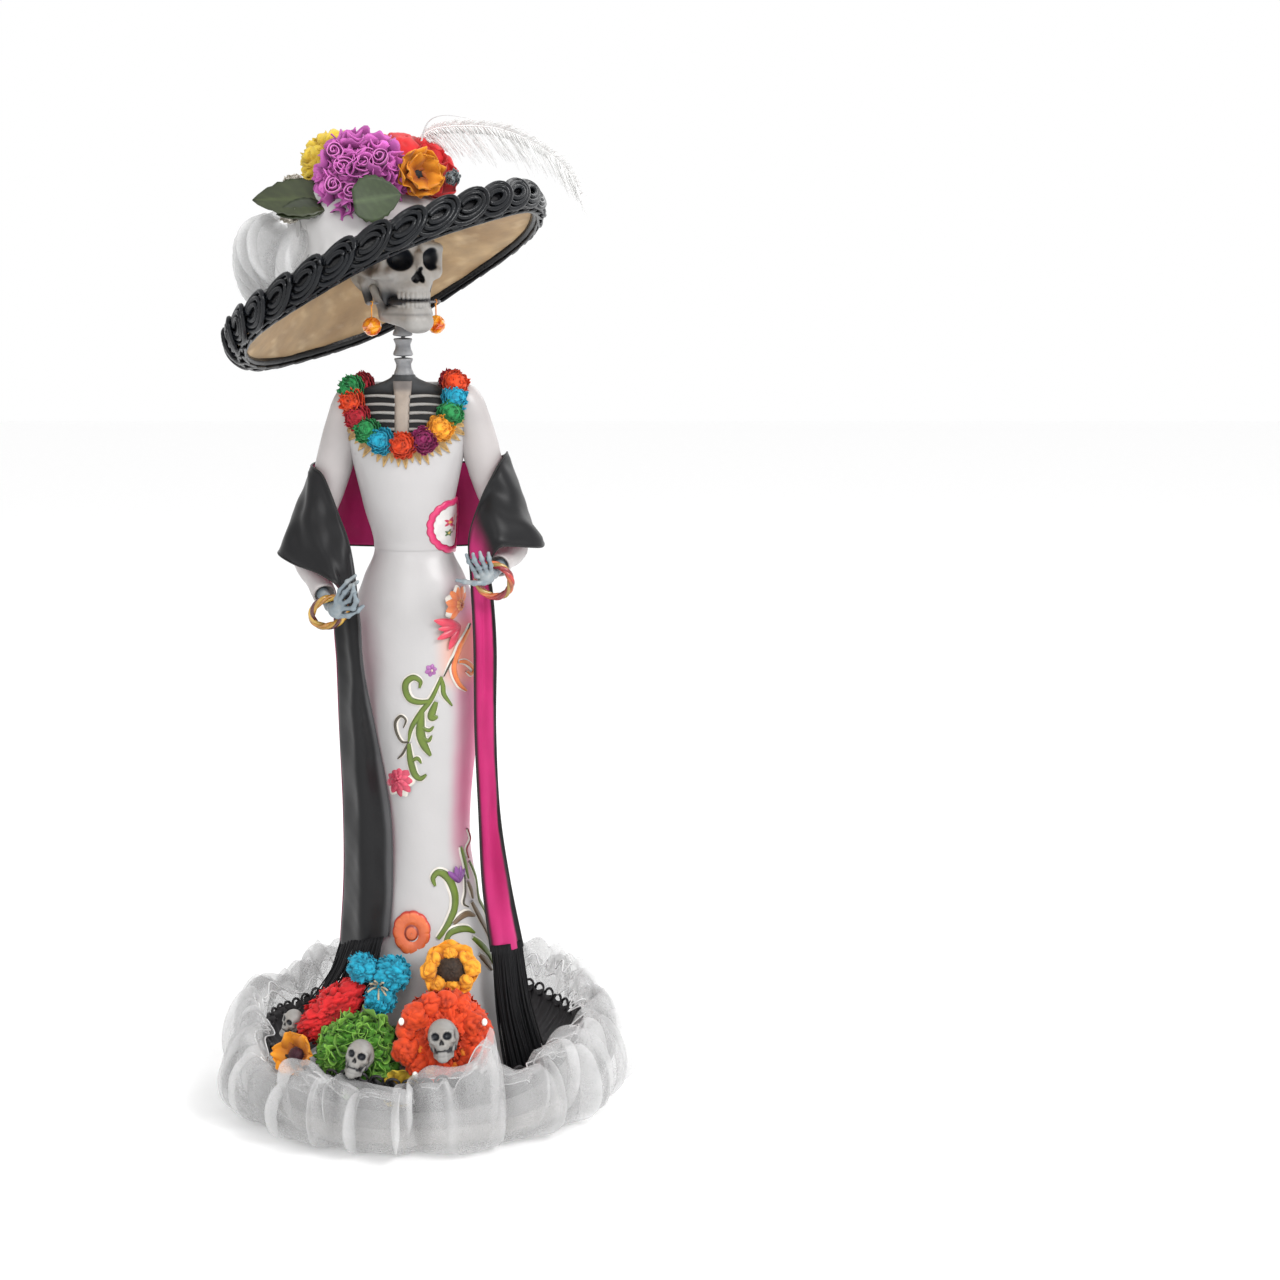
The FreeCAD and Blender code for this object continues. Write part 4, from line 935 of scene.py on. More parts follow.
def hat_trim():
    """Black braid that stands up round the brim: overlapping curled lobes of a few fine cords."""
    bag = Bag()
    rng = np.random.default_rng(7)
    section = spline(np.vstack([BRAID_SECTION, BRAID_SECTION[:1]]), 80)
    run = np.concatenate([[0], np.cumsum(np.linalg.norm(np.diff(section, axis=0), axis=1))])
    outward = unit(np.gradient(section, axis=0)) @ np.array([[0, -1], [1, 0]])

    def on_braid(place, angle, raised):
        """Place at a distance round the section, raised above it."""
        place = np.mod(place, run[-1])
        past = np.interp(place, run, section[:, 0]) + raised * np.interp(place, run, outward[:, 0])
        lift = np.interp(place, run, section[:, 1]) + raised * np.interp(place, run, outward[:, 1])
        return hat_point(np.full(len(past), HAT_EDGE), angle, lift) + past[:, None] * (
            np.cos(np.radians(angle))[:, None] * HAT_ACROSS + np.sin(np.radians(angle))[:, None] * HAT_DEEP)

    turn = np.radians(np.linspace(-158, 158, 24))
    degrees = 180 / (math.pi * HAT_EDGE)
    for spot, lobes, reach, shift, cord in BRAID_ROWS:
        middle_run = run[np.argmin(np.hypot(section[:, 0] - spot[0], section[:, 1] - spot[1]))]
        step = 360 / lobes
        for number in range(lobes):
            tone = rng.uniform(0.75, 1.3)
            tilt = rng.uniform(-0.12, 0.12)
            for strand in range(round(reach / STRAND_GAP)):
                inset = strand * STRAND_GAP
                across = (reach - inset) * np.sin(turn)
                along = (15.5 - 1.2 * inset) * np.cos(turn) + (9 - inset) * np.sin(turn) + tilt * across
                raised = (0.45 + 0.05 * strand + 0.6 * np.cos(turn / 2)) * cord + 0.08 * along * (reach > 4)
                angle = (number + shift) * step + along * degrees
                shade = np.array([0.005, 0.006, 0.008]) * tone
                bag.tube(on_braid(middle_run + across, angle, raised), cord, shade, sides=8)
    # the ribbon that the braid is sewn on, folded over the edge
    angle = np.linspace(0, 360, 220, endpoint=False)
    grid = np.stack([on_braid(np.full(220, place), angle, 0.0) for place in np.linspace(0, run[-1], 30)])
    bag.grid(grid[:, ::-1], (0.006, 0.006, 0.007), around=True)
    braid = surface("hat_braid", rough=0.24, mottle=0.3, mottle_scale=160, grain=700, grain_depth=0.0004,
                    specular=0.28)
    bag.piece("hat_braid_trim", braid, "hat", replaces=["hat_trim"], slot="black_braid")


# ---- skull ------------------------------------------------------------------------------

HEAD_TURN = -58.0            # degrees about +Z from +X to where the face looks
TEETH = 5                    # on each side of the middle one
EYE = (31.5, 13.2, 2.4)      # middle of the left socket: forward, to the side and up
MOUTH, MOUTH_SIZE = (16.0, 0, -29.2), (18.0, 16.0, 7.0)


def head_place(points):
    """Points given forward, to the figure's left and up from the middle of the head."""
    pivots = [joint("earring_%s_swing" % side)[0] for side in ("right", "left")]
    forward = np.array([math.cos(math.radians(-55)), math.sin(math.radians(-55)), 0])
    centre = (pivots[0] + pivots[1]) / 2 - forward * 7.5 + np.array([0, 0, 30])
    a = math.radians(HEAD_TURN)
    turn = np.array([[math.cos(a), math.sin(a), 0], [-math.sin(a), math.cos(a), 0], [0, 0, 1]])
    return np.asarray(points, float) @ turn + centre


def both_sides(p):
    """Points folded over onto the left side, so that a shape built there is on both."""
    return np.stack([p[..., 0], np.abs(p[..., 1]), p[..., 2]], -1)


def teeth(p, low, high, reach, side_reach):
    """Distance to a bow of upright pegs between two heights."""
    d = np.full(p.shape[:-1], 99.0)
    for k in range(-TEETH, TEETH + 1):
        a = math.radians(k * 12.5)
        foot = (16 + reach * math.cos(a), side_reach * math.sin(a))
        d = np.minimum(d, bar(p, (*foot, low), (*foot, high), 1.75, 2.0))
    return d


def nose_hole(p):
    """Distance to the heart-shaped hole of the nose."""
    foot = bar(both_sides(p), (41, 2.8, -12), (29, 2.5, -12), 2.5)
    hole = blend_min(foot, bar(p, (41, 0, -9), (29, 0, -9.5), 2.9), 1.5)
    return blend_min(hole, bar(p, (41, 0, -4.5), (31, 0, -5.5), 1.6), 2)


def skull_shape(p):
    """Distance to the painted skull without its lower jaw."""
    mirrored = both_sides(p)
    d = ball(p, (-6, 0, 5), (38, 30, 31))
    d = blend_min(d, ball(p, (-15, 0, -3), (28, 32.5, 26)), 6)
    d = blend_min(d, ball(p, (12, 0, -8), (21.5, 20.5, 22)), 6)
    d = blend_min(d, ball(p, (22, 0, -19), (15, 13.0, 8.5)), 4)
    d = blend_min(d, bar(mirrored, (31, 4, 12.5), (22, 22, 11), 3.6, 3.2), 4)
    d = blend_min(d, bar(mirrored, (24, 19, -8), (12, 25, -9), 4.4, 3.6), 4)
    d = blend_min(d, bar(mirrored, (12, 25, -9), (-3, 28, -7), 3.4, 2.4), 2.5)
    d = blend_min(d, bar(mirrored, (22, 23, 9), (20, 23, -6), 2.6, 3.0), 3)
    d = blend_min(d, bar(p, (34.5, 0, 6), (36.5, 0, -6), 2.6, 2.2), 4)
    d = blend_min(d, bar(mirrored, (-4, 25, -16), (-2, 24, -29), 5.0, 3.0), 5)
    d = carve(d, ball(mirrored, (9, 31.5, 3), (10.5, 6.2, 13)), 3)
    d = carve(d, ball(mirrored, (10, 25.5, -22), (12, 8.0, 8.5)), 3)
    d = carve(d, ball(mirrored, EYE, (13.5, 8.9, 7.9)), 1.6)
    d = carve(d, nose_hole(p), 0.9)
    d = blend_min(d, bar(mirrored, (10, 17.5, -15), (9, 15.5, -30), 4.0, 3.0), 4)
    d = blend_min(d, teeth(p, -25.6, -23.2, 19.4, 13.0), 1.2)
    return d


def jaw_shape(p):
    """Distance to the lower jaw, with the dark filling of the mouth above it."""
    mirrored = both_sides(p)
    d = bar(mirrored, (31.0, 5, -43), (11, 16.6, -39), 6.4, 5.0)
    d = blend_min(d, ball(p, (31, 0, -44), (7.5, 11, 8.0)), 4)
    d = blend_min(d, ball(p, (28, 0, -36.5), (7.5, 11, 5.5)), 3)
    d = blend_min(d, bar(mirrored, (11, 16.8, -38), (1, 21.5, -19), 4.2, 3.2), 3)
    d = blend_min(d, bar(mirrored, (30, 5, -36), (17, 14.5, -35), 4.0, 3.6), 3)
    d = carve(d, bar(p, (3, 0, -60), (3, 0, -20), 11.5), 2)
    d = np.minimum(d, ball(p, MOUTH, MOUTH_SIZE))
    d = blend_min(d, teeth(p, -32.0, -30.0, 18.4, 12.4), 1.2)
    return d


def bone_tint(points, openness, upper):
    """Bone paint with painted shade darkened into its hollows, temples and cheeks and at the corners of the
    mouth.
    """
    mirrored = both_sides(points)
    x, y, z = mirrored.T
    # painted shade: darker where the surface is less open, deep in the hollows
    hollow_shade = 1 - smoothstep(0.25, 0.95, openness)
    tint = mix(BONE, (0.14, 0.135, 0.13), np.clip(hollow_shade * 0.75 + 0.18 * wander(points, 30, 9), 0, 1))
    warm = np.clip(0.35 * wander(points, 31, 13), 0, 1)
    tint = mix(tint, (0.36, 0.31, 0.26), warm)
    if upper:
        socket = 1 - smoothstep(0.2, 1.3, ball(mirrored, EYE, (13.5, 9.0, 8.0)))
        tint = mix(tint, (0.003, 0.005, 0.010), socket)
        tint = mix(tint, (0.008, 0.008, 0.010), 1 - smoothstep(0.1, 0.9, nose_hole(points)))
        # painted shade in the recessed temples behind the eye sockets
        temple = hump(x, 7, 5.5) * hump(z, 1, 13) * (y > 18)
        tint = mix(tint, (0.030, 0.026, 0.026), temple * 0.92)
        tint = mix(tint, (0.20, 0.195, 0.165), smoothstep(2, -10, x) * 0.35)
        # painted shadow on the sides of the face below the cheekbones
        under = smoothstep(-16, -24, z) * (1 - smoothstep(20, 27, x)) * (y > 8)
        tint = mix(tint, (0.012, 0.015, 0.020), under * 0.92)
    else:
        # painted shadow at the corners of the mouth
        corner = hump(x, 15, 7) * hump(z, -31, 4.5) * (y > 9)
        tint = mix(tint, (0.012, 0.014, 0.020), corner * 0.95)
        filling = (1 - smoothstep(0.15, 0.6, ball(points, MOUTH, MOUTH_SIZE))) * (z > -31)
        tint = mix(tint, (0.010, 0.011, 0.014), filling)
        tint = mix(tint, (0.10, 0.10, 0.105), hump(z, -38.0, 1.0) * (x > 14) * 0.5)
    line = hump(z, -26.8 if upper else -28.6, 0.9) * (x > 14)
    return mix(tint, (0.02, 0.02, 0.024), line * 0.85)


def skull():
    """Skull and jaw; returns the painted bone's material."""
    step = 0.75
    bone = surface("skull_paint", rough=0.5, mottle=0.16, mottle_scale=130, grain=1300, grain_depth=0.0001,
                   lumps=0.0004, lump_scale=420, coat=0.1)
    points, faces, openness = sculpt(skull_shape, (-43, -35, -34), (44, 35, 41), step)
    piece("skull_face", head_place(points), faces, bone, "figure", bone_tint(points, openness, True),
          replaces=["skull"], slot="bone")
    points, faces, openness = sculpt(jaw_shape, (-6, -30, -56), (44, 30, -14), step)
    piece("jaw_bone", head_place(points), faces, bone, "figure", bone_tint(points, openness, False),
          replaces=["jaw"], slot="bone")
    return bone


MINI_SKULLS = {
    # node: where it faces, lean to the side in degrees, size beside the big skull
    "mini_skull_orange": ((-0.05, -1, 0.22), -6, 0.36),
    "mini_skull_green": ((-0.22, -1, 0.25), 14, 0.33),
    "mini_skull_side": ((-0.75, -0.8, 0.2), 16, 0.25),
}


def mini_skulls(bone):
    """Small painted skulls set in the paper flowers."""
    step = 3.2
    upper, upper_faces, upper_open = sculpt(skull_shape, (-45, -37, -36), (46, 37, 43), step, 5)
    lower, lower_faces, lower_open = sculpt(jaw_shape, (-8, -32, -58), (46, 32, -12), step, 5)
    points = np.vstack([upper, lower])
    tint = np.vstack([bone_tint(upper, upper_open, True), bone_tint(lower, lower_open, False)])
    tint = mix(tint, (0.02, 0.02, 0.02), 0.12 * (tint.mean(1) > 0.1))
    for node, (facing, lean, size) in MINI_SKULLS.items():
        across, up, outward = rolled_basis(facing, -lean)
        local = (points - np.array([4, 0, -5])) * size * np.array([0.75, 1, 1])
        placed = middle(node) + np.array(facing) * 2.0 + local[:, :1] * outward + local[:, 1:2] * across
        placed = placed + local[:, 2:] * up
        piece(node + "_face", placed, [upper_faces, lower_faces + len(upper)], bone, "figure", tint,
              replaces=[node], slot="bone")


# ---- hands and jewellery ----------------------------------------------------------------

HANDS = {
    "right": {
        "palm": (-53, -63, 396),
        "thumb": [(-52, -66, 393), (-44, -71, 394), (-37, -71, 398), (-33, -70, 401)],
        "fingers": [[(-47, -68, 399), (-40, -74, 400), (-37, -77, 406), (-38, -79, 411)],
                    [(-48, -67, 402), (-42, -73, 406), (-39, -76, 412), (-39, -77, 418)],
                    [(-50, -66, 405), (-46, -70, 411), (-41, -73, 416), (-36, -75, 420)],
                    [(-53, -64, 405), (-50, -67, 412), (-44, -70, 419), (-38, -72, 424)]],
    },
    "left": {
        "palm": (57, -62, 421),
        "thumb": [(56, -66, 418), (49, -70, 418), (42, -69, 419), (36, -68, 420)],
        "fingers": [[(51, -67, 423), (49, -72, 429), (46, -75, 435), (44, -76, 440)],
                    [(55, -67, 424), (53, -73, 430), (50, -77, 436), (49, -78, 441)],
                    [(58, -66, 425), (57, -72, 431), (55, -76, 437), (54, -77, 442)],
                    [(61, -64, 425), (61, -69, 431), (60, -73, 437), (60, -74, 441)]],
    },
}


def hands():
    """Wrist, palm and jointed fingers of both hands, each in one sculpted piece."""
    paint = surface("hand_paint", rough=0.45, mottle=0.2, mottle_scale=200, grain=1600, lumps=0.0002,
                    lump_scale=600)
    for side, design in HANDS.items():
        cuff, wrist = arm_places(side)[2:]
        digits = design["fingers"] + [design["thumb"]]
        palm = np.array(design["palm"], float)
        forward = unit(palm - wrist)

        def shape(p):
            """Distance to the hand."""
            d = bar(p, cuff - 3 * forward, wrist, 5.0, 3.6)
            d = blend_min(d, bar(p, wrist, mix(wrist, palm, 0.6), 3.3, 4.6), 3)
            d = blend_min(d, ball(p, palm, (6.6, 6.6, 5.4)), 3)
            for path in digits:
                d = blend_min(d, bar(p, palm, path[0], 2.9, 2.4), 1.2)
                for start, end, r0, r1 in zip(path, path[1:], (2.1, 1.9, 1.7), (1.75, 1.6, 1.25)):
                    d = blend_min(d, bar(p, start, end, r0, r1), 0.5)
                for knuckle in path[:-1]:
                    d = blend_min(d, ball(p, knuckle, (2.35, 2.35, 2.35)), 0.5)
            return d

        every = np.array([palm, cuff] + [q for path in digits for q in path])
        step = 0.55
        points, faces, openness = sculpt(shape, every.min(0) - 9, every.max(0) + 9, step, 1.6)
        # painted shade: near black deep in the hollows between the bones
        tint = mix((0.20, 0.245, 0.275), (0.018, 0.024, 0.032), 1 - smoothstep(0.2, 0.85, openness))
        tint = mix(tint, (0.36, 0.38, 0.38), np.clip(0.7 * wander(points, 33, 5) - 0.15, 0, 0.7))
        piece("hand_bones_" + side, points, faces, paint, "figure", tint, replaces=["hand_" + side],
              slot="grey_bone")


def bangles():
    """Rings of four twisted lacquered strands."""
    colours = {"right": [(0.62, 0.33, 0.03), (0.55, 0.24, 0.02), (0.75, 0.45, 0.06), (0.10, 0.008, 0.008)],
               "left": [(0.50, 0.03, 0.02), (0.70, 0.16, 0.04), (0.45, 0.27, 0.05), (0.30, 0.012, 0.02)]}
    slots = {"right": "gold_paint", "left": "red_paint"}
    metal = surface("bangle_lacquer", rough=0.22, mottle=0.25, mottle_scale=160, grain=900, coat=0.8)
    for side in ("right", "left"):
        node = "bangle_" + side
        axis = joint(node + "_swing")[1]
        centre = middle(node)
        across, up, facing = basis(axis)
        angle = round_angles(120)
        bag = Bag()
        for strand in range(4):
            twist = angle * 3 + strand * math.pi / 2
            radius = 13 + 1.35 * np.cos(twist)
            path = centre + np.outer(radius * np.cos(angle), across) + np.outer(radius * np.sin(angle), up)
            path = path + np.outer(1.35 * np.sin(twist), facing)
            along = unit(np.roll(path, -1, 0) - np.roll(path, 1, 0))
            outward = unit(path - centre)
            side_way = np.cross(along, outward)
            turn = np.radians(np.arange(0, 360, 40))
            ring = outward[:, None] * np.cos(turn)[:, None] + side_way[:, None] * np.sin(turn)[:, None]
            grid = path[:, None] + 1.6 * ring
            grid = np.concatenate([grid, grid[:1]])
            tone = np.clip(0.75 + 0.35 * wander(grid, 40 + strand, 6), 0.3, 1.2)[..., None]
            bag.grid(grid, np.array(colours[side][strand]) * tone, around=True)
        bag.piece("bangle_strands_" + side, metal, node, replaces=[node], slot=slots[side])


# radius and height of the corners down an earring's bead
BEAD_SECTION = ((0.02, -7.4), (3.6, -6.2), (6.3, -3.2), (7.4, 0), (6.3, 3.2), (3.6, 6.2), (0.02, 7.2))


def earrings():
    """Faceted amber beads, each on a wire with a ring at the joint."""
    amber = Nodes("amber_glass")
    amber.shader.inputs["Base Color"].default_value = (0.85, 0.24, 0.01, 1)
    glow = amber.ramp(amber.noise(180, 2.0), "Fac", [(0.35, (0.62, 0.07, 0.003)), (0.62, (1.0, 0.42, 0.02))])
    amber.link(glow, 0, amber.shader, "Base Color")
    amber.shader.inputs["Roughness"].default_value = 0.08
    amber.shader.inputs["Transmission Weight"].default_value = 0.25
    amber.shader.inputs["Coat Weight"].default_value = 0.6
    amber.bump(amber.noise(600, 2.0), "Fac", 0.05, 0.00005)
    for side in ("right", "left"):
        node = "earring_" + side
        pivot, axis = joint(node + "_swing")
        bead = np.array([pivot[0], pivot[1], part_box(node)[0][2] / MM + 7])
        rows = []
        for turn, (radius, height) in enumerate(BEAD_SECTION):
            angle = np.radians(np.arange(0, 360, 45) + (22.5 if turn % 2 else 0))
            rows.append(np.stack([bead[0] + radius * np.cos(angle), bead[1] + radius * np.sin(angle),
                                  bead[2] + height + 0 * angle], -1))
        bag = Bag()
        bag.grid(np.stack(rows), (0.8, 0.25, 0.02), around=True)
        top = bead + np.array([0, 0, 7])
        bag.tube([top, (top + pivot) / 2, pivot - np.array([0, 0, 1.6])], 0.55, (0.5, 0.2, 0.02), sides=8)
        across, up = basis(axis)[:2]
        turn = np.linspace(0, 2 * math.pi, 17)
        ring = pivot + 1.5 * (np.outer(np.cos(turn), across) + np.outer(np.sin(turn), up))
        bag.tube(ring, 0.5, (0.5, 0.2, 0.02), sides=6)
        bag.piece("earring_bead_" + side, amber.material, node, smooth=False, replaces=[node],
                  slot="amber_bead")


# ---- paper flowers ----------------------------------------------------------------------

def place_local(local, centre, axes):
    """Local (across, upward, outward) places put round a centre."""
    return centre + local @ axes


def ruffled_ring(bag, centre, axes, inner, outer, waves, depth, dark, bright, rng, cols=96, squash=(1, 1)):
    """Gathered strip of paper: inner and outer are (radius, height) of its two edges."""
    v, a = np.meshgrid(np.linspace(0, 1, 7), round_angles(cols), indexing="ij")
    phase = rng.uniform(0, 7, 4)
    uneven = np.sin(a * 2 + phase[0]) * 0.35 + np.sin(a * 3 + phase[1]) * 0.3
    wave = np.sin(waves * a + phase[2] + 1.6 * uneven)
    fine = np.sin(waves * 2.7 * a + phase[3] + 2 * uneven)
    turned = a + 0.8 * v / waves * np.cos(waves * a + phase[2] + 1.6 * uneven)
    radius = inner[0] + (outer[0] - inner[0]) * np.sin(v * math.pi * 0.55)
    radius = radius + depth * v ** 1.3 * (0.35 * uneven + 0.35 * fine + 0.25 * wave)
    height = inner[1] + (outer[1] - inner[1]) * v ** 0.8 + depth * v ** 1.2 * (0.62 * wave + 0.22 * fine)
    local = np.stack([radius * np.cos(turned) * squash[0], radius * np.sin(turned) * squash[1], height], -1)
    # painted shade: dark at the strip's root, lit towards its edge and on the crests of its waves
    lobes = 0.5 + 0.5 * wave
    share = np.clip(v ** 0.8 * (0.70 + 0.35 * lobes) + 0.12 * uneven, 0, 1.0)
    bag.grid(place_local(local, centre, axes), mix(dark, bright, share), around=True)


def pompom(bag, centre, facing, radius, depth, colours, seed, rings=6, waves=11, ruffle=0.24, squash=(1, 1),
           roll=0.0, cols=110):
    """Crumpled crepe flower: rings of ruffled paper from the rim up to the middle."""
    rng = np.random.default_rng(seed)
    axes = rolled_basis(facing, roll)
    dark, bright = colours
    for k in range(rings):
        climb = math.radians(-14 + 96 * (k + 0.35) / rings)
        edge = (radius * math.cos(climb) * 0.90 + 0.5, depth * (-0.25 + 1.15 * math.sin(climb)))
        root = (radius * 0.42 * math.cos(climb), depth * (-0.75 + 0.7 * math.sin(climb)))
        count = max(5, int(round(waves * (0.45 + 0.55 * math.cos(climb)))))
        tone = rng.uniform(0.82, 1.12)
        swing = radius * ruffle * (0.55 + 0.45 * math.cos(climb))
        ruffled_ring(bag, centre, axes, root, edge, count, swing, dark, np.array(bright) * tone, rng, cols,
                     squash)


def crumple(bag, centre, facing, size, colours, seed, crease=5.0, depth=0.22, rows=34, cols=52, roll=0.0):
    """Wad of crumpled paper: a ball squeezed into sharp creases, with painted shade darkening their bottoms.
    """
    axes = rolled_basis(facing, roll)
    dark, bright = colours
    t, a = np.meshgrid(np.linspace(0.02, math.pi - 0.02, rows), round_angles(cols), indexing="ij")
    local = np.stack([np.sin(t) * np.cos(a), np.sin(t) * np.sin(a), np.cos(t)], -1)
    spot = local * np.array(size, float)
    valley = hump(wander(spot, seed, crease * 2.2), 0, 0.20)
    valley = np.maximum(valley, 0.6 * hump(wander(spot, seed + 1, crease * 1.3), 0, 0.16))
    fine = wander(spot, seed + 2, crease * 0.5)
    swell = 1 - depth * valley + 0.28 * depth * fine + 0.5 * depth * wander(spot, seed + 3, crease * 3.5)
    # painted shade in the creases, the lit colour on the swells between them
    tint = mix(bright, dark, np.clip(0.62 * valley - 0.25 * fine, -0.12, 1))
    bag.grid(place_local(spot * swell[..., None], centre, axes), tint, around=True)


def petal_flower(bag, centre, facing, radius, depth, petals, colours, seed, cup, ruffle, heart_size,
                 heart=(0.02, 0.012, 0.01), layers=1, wide=0.62):
    """Open flower: broad ruffled petals round a small domed heart."""
    rng = np.random.default_rng(seed)
    axes = basis(facing)
    dark, bright = colours
    v, u = patch_grid(10, 13)
    for layer in range(layers):
        size = radius * (1 - 0.25 * layer)
        for k in range(petals):
            turn = 2 * math.pi * (k + 0.5 * layer + rng.uniform(-0.12, 0.12)) / petals
            half = size * wide * np.sin(np.clip(v * 0.80 + 0.14, 0, 1) * math.pi) ** 0.6
            half = half * rng.uniform(0.9, 1.1)
            reach = size * (0.14 + 0.86 * v) * rng.uniform(0.93, 1.06) - 0.10 * size * u ** 2 * v
            phase = rng.uniform(0, 7, 2)
            rise = depth * (cup * v ** 1.6 - 0.35 + 0.35 * layer)
            rise = rise + size * ruffle * v * np.sin(5 * u + phase[0])
            rise = rise + size * 0.06 * np.sin(9 * v + 3 * u + phase[1]) + size * 0.14 * u ** 2 * (1 - v)
            x = reach * np.cos(turn) - half * u * np.sin(turn)
            y = reach * np.sin(turn) + half * u * np.cos(turn)
            local = np.stack([x, y, rise + 0.03 * size * (k % 2)], -1)
            tone = rng.uniform(0.85, 1.1)
            # painted shade: darker at the petal's root, lit towards its tip
            share = np.clip(v * 1.25 - 0.12 + 0.10 * np.sin(7 * u + phase[0]), 0, 1)
            bag.grid(place_local(local, centre, axes), mix(dark, np.array(bright) * tone, share))
    a, t = np.meshgrid(round_angles(26), np.linspace(0, math.pi / 2, 8))
    knobs = np.sin(a * 7 + t * 9)
    bumpy = 1 + 0.10 * knobs
    r = heart_size * radius * np.sin(t[::-1]) * bumpy
    z = heart_size * radius * 0.75 * np.cos(t[::-1]) * bumpy - depth * 0.15
    local = np.stack([r * np.cos(a), r * np.sin(a), z], -1)
    tint = np.array(heart) * (0.7 + 0.6 * (knobs > 0))[..., None]
    bag.grid(place_local(local, centre, axes), tint, around=True)


def curls(bag, centre, facing, radius, depth, colours, seed, count=40, width=0.24):
    """Mass of paper strips rolled into loops, as on the big hat flower."""
    rng = np.random.default_rng(seed)
    axes = basis(facing)
    dark, bright = colours
    golden = math.pi * (3 - math.sqrt(5))
    for k in range(count):
        climb = math.acos(1 - 0.98 * (k + 0.5) / count)
        turn = k * golden + rng.uniform(-0.2, 0.2)
        outward = np.array([math.sin(climb) * math.cos(turn), math.sin(climb) * math.sin(turn),
                            math.cos(climb)])
        place = outward * np.array([radius, radius, depth]) * rng.uniform(0.74, 0.9)
        local_axes = basis(outward + rng.normal(size=3) * 0.25, rng.normal(size=3))
        size = radius * rng.uniform(0.16, 0.26)
        sweep = np.linspace(0, rng.uniform(4.6, 7.4), 26)
        r = size * (1 - 0.62 * sweep / 7.4)
        strip = radius * width
        v, s = np.meshgrid(np.linspace(0, 1, 5), np.arange(26), indexing="ij")
        rr = r[s] * (1 + 0.35 * (v - 0.3)) + 0.05 * radius * np.sin(sweep[s] * 3.0 + k) * v
        ring = np.stack([rr * np.cos(sweep[s]), rr * np.sin(sweep[s]),
                         strip * (v - 0.75) + 0.05 * radius * np.sin(sweep[s] * 4 + 2 * k) * v], -1)
        spot = ring @ local_axes + place
        tone = rng.uniform(0.75, 1.2)
        # painted shade: dark along the strip's inner edge, lit along its outer one
        bag.grid(place_local(spot, centre, axes), mix(dark, np.array(bright) * tone, v ** 0.9 * 0.95 + 0.05))


def paper_piece(bag, name, material, body, node, slot, thickness=0.5):
    """Piece of thin paper or cloth for a CAD node, given its thickness in millimetres."""
    made = bag.piece(name, material, body, replaces=[node] if node else [], slot=slot)
    solid = made.modifiers.new("paper thickness", "SOLIDIFY")
    solid.thickness = thickness * MM
    solid.offset = 0


# colours of each paper: painted shade deep in its folds, and its lit colour on its edges
PAPER = {
    "orange": ((0.20, 0.008, 0.002), (0.70, 0.058, 0.007)),
    "green": ((0.008, 0.030, 0.003), (0.075, 0.25, 0.018)),
    "blue": ((0.002, 0.07, 0.12), (0.008, 0.34, 0.50)),
    "yellow": ((0.33, 0.075, 0.003), (0.85, 0.36, 0.022)),
    "red": ((0.12, 0.002, 0.003), (0.62, 0.012, 0.015)),
    "magenta": ((0.13, 0.003, 0.03), (0.52, 0.02, 0.12)),
    "purple": ((0.13, 0.012, 0.11), (0.63, 0.14, 0.50)),
    "gold": ((0.28, 0.06, 0.003), (0.78, 0.30, 0.015)),
    "lemon": ((0.40, 0.22, 0.01), (0.72, 0.52, 0.05)),
    "emerald": ((0.002, 0.05, 0.015), (0.018, 0.26, 0.07)),
    "wine": ((0.08, 0.001, 0.003), (0.40, 0.006, 0.020)),
    "plum": ((0.06, 0.002, 0.02), (0.27, 0.014, 0.105)),
}
GARLAND_PAPER = {"green": "emerald", "red": "wine", "magenta": "plum"}
# roses of the garland: colour and angle in degrees round the neckline
GARLAND = (("green", 179), ("orange", 193), ("red", 210), ("green", 228), ("blue", 247), ("orange", 271),
           ("magenta", 295), ("yellow", 316), ("green", 335), ("blue", 351), ("orange", 366))


def crepe(name):
    """Matt crinkled paper in the colours of the mesh."""
    return surface(name, rough=0.62, mottle=0.22, mottle_scale=90, grain=1500, grain_depth=0.00022,
                   sheen=0.15, stretch=(1, 1, 0.3), specular=0.3)


def wreath(bag, centre, facing, radius, thickness, colours, seed, count, squash=(1, 1)):
    """Ring of crumpled wads with ruffled paper edges between them."""
    rng = np.random.default_rng(seed)
    axes = basis(facing)
    for k in range(count):
        turn = 2 * math.pi * k / count + rng.uniform(-0.1, 0.1)
        spot = np.array([radius * math.cos(turn) * squash[0], radius * math.sin(turn) * squash[1],
                         rng.uniform(-2, 2)])
        size = thickness * rng.uniform(0.85, 1.15)
        leaning = axes[2] + 0.4 * (spot @ axes) / radius
        crumple(bag, place_local(spot, centre, axes), leaning, (size, size, size * 0.95), colours,
                seed * 20 + k, crease=3.4, depth=0.26, rows=26, cols=36)


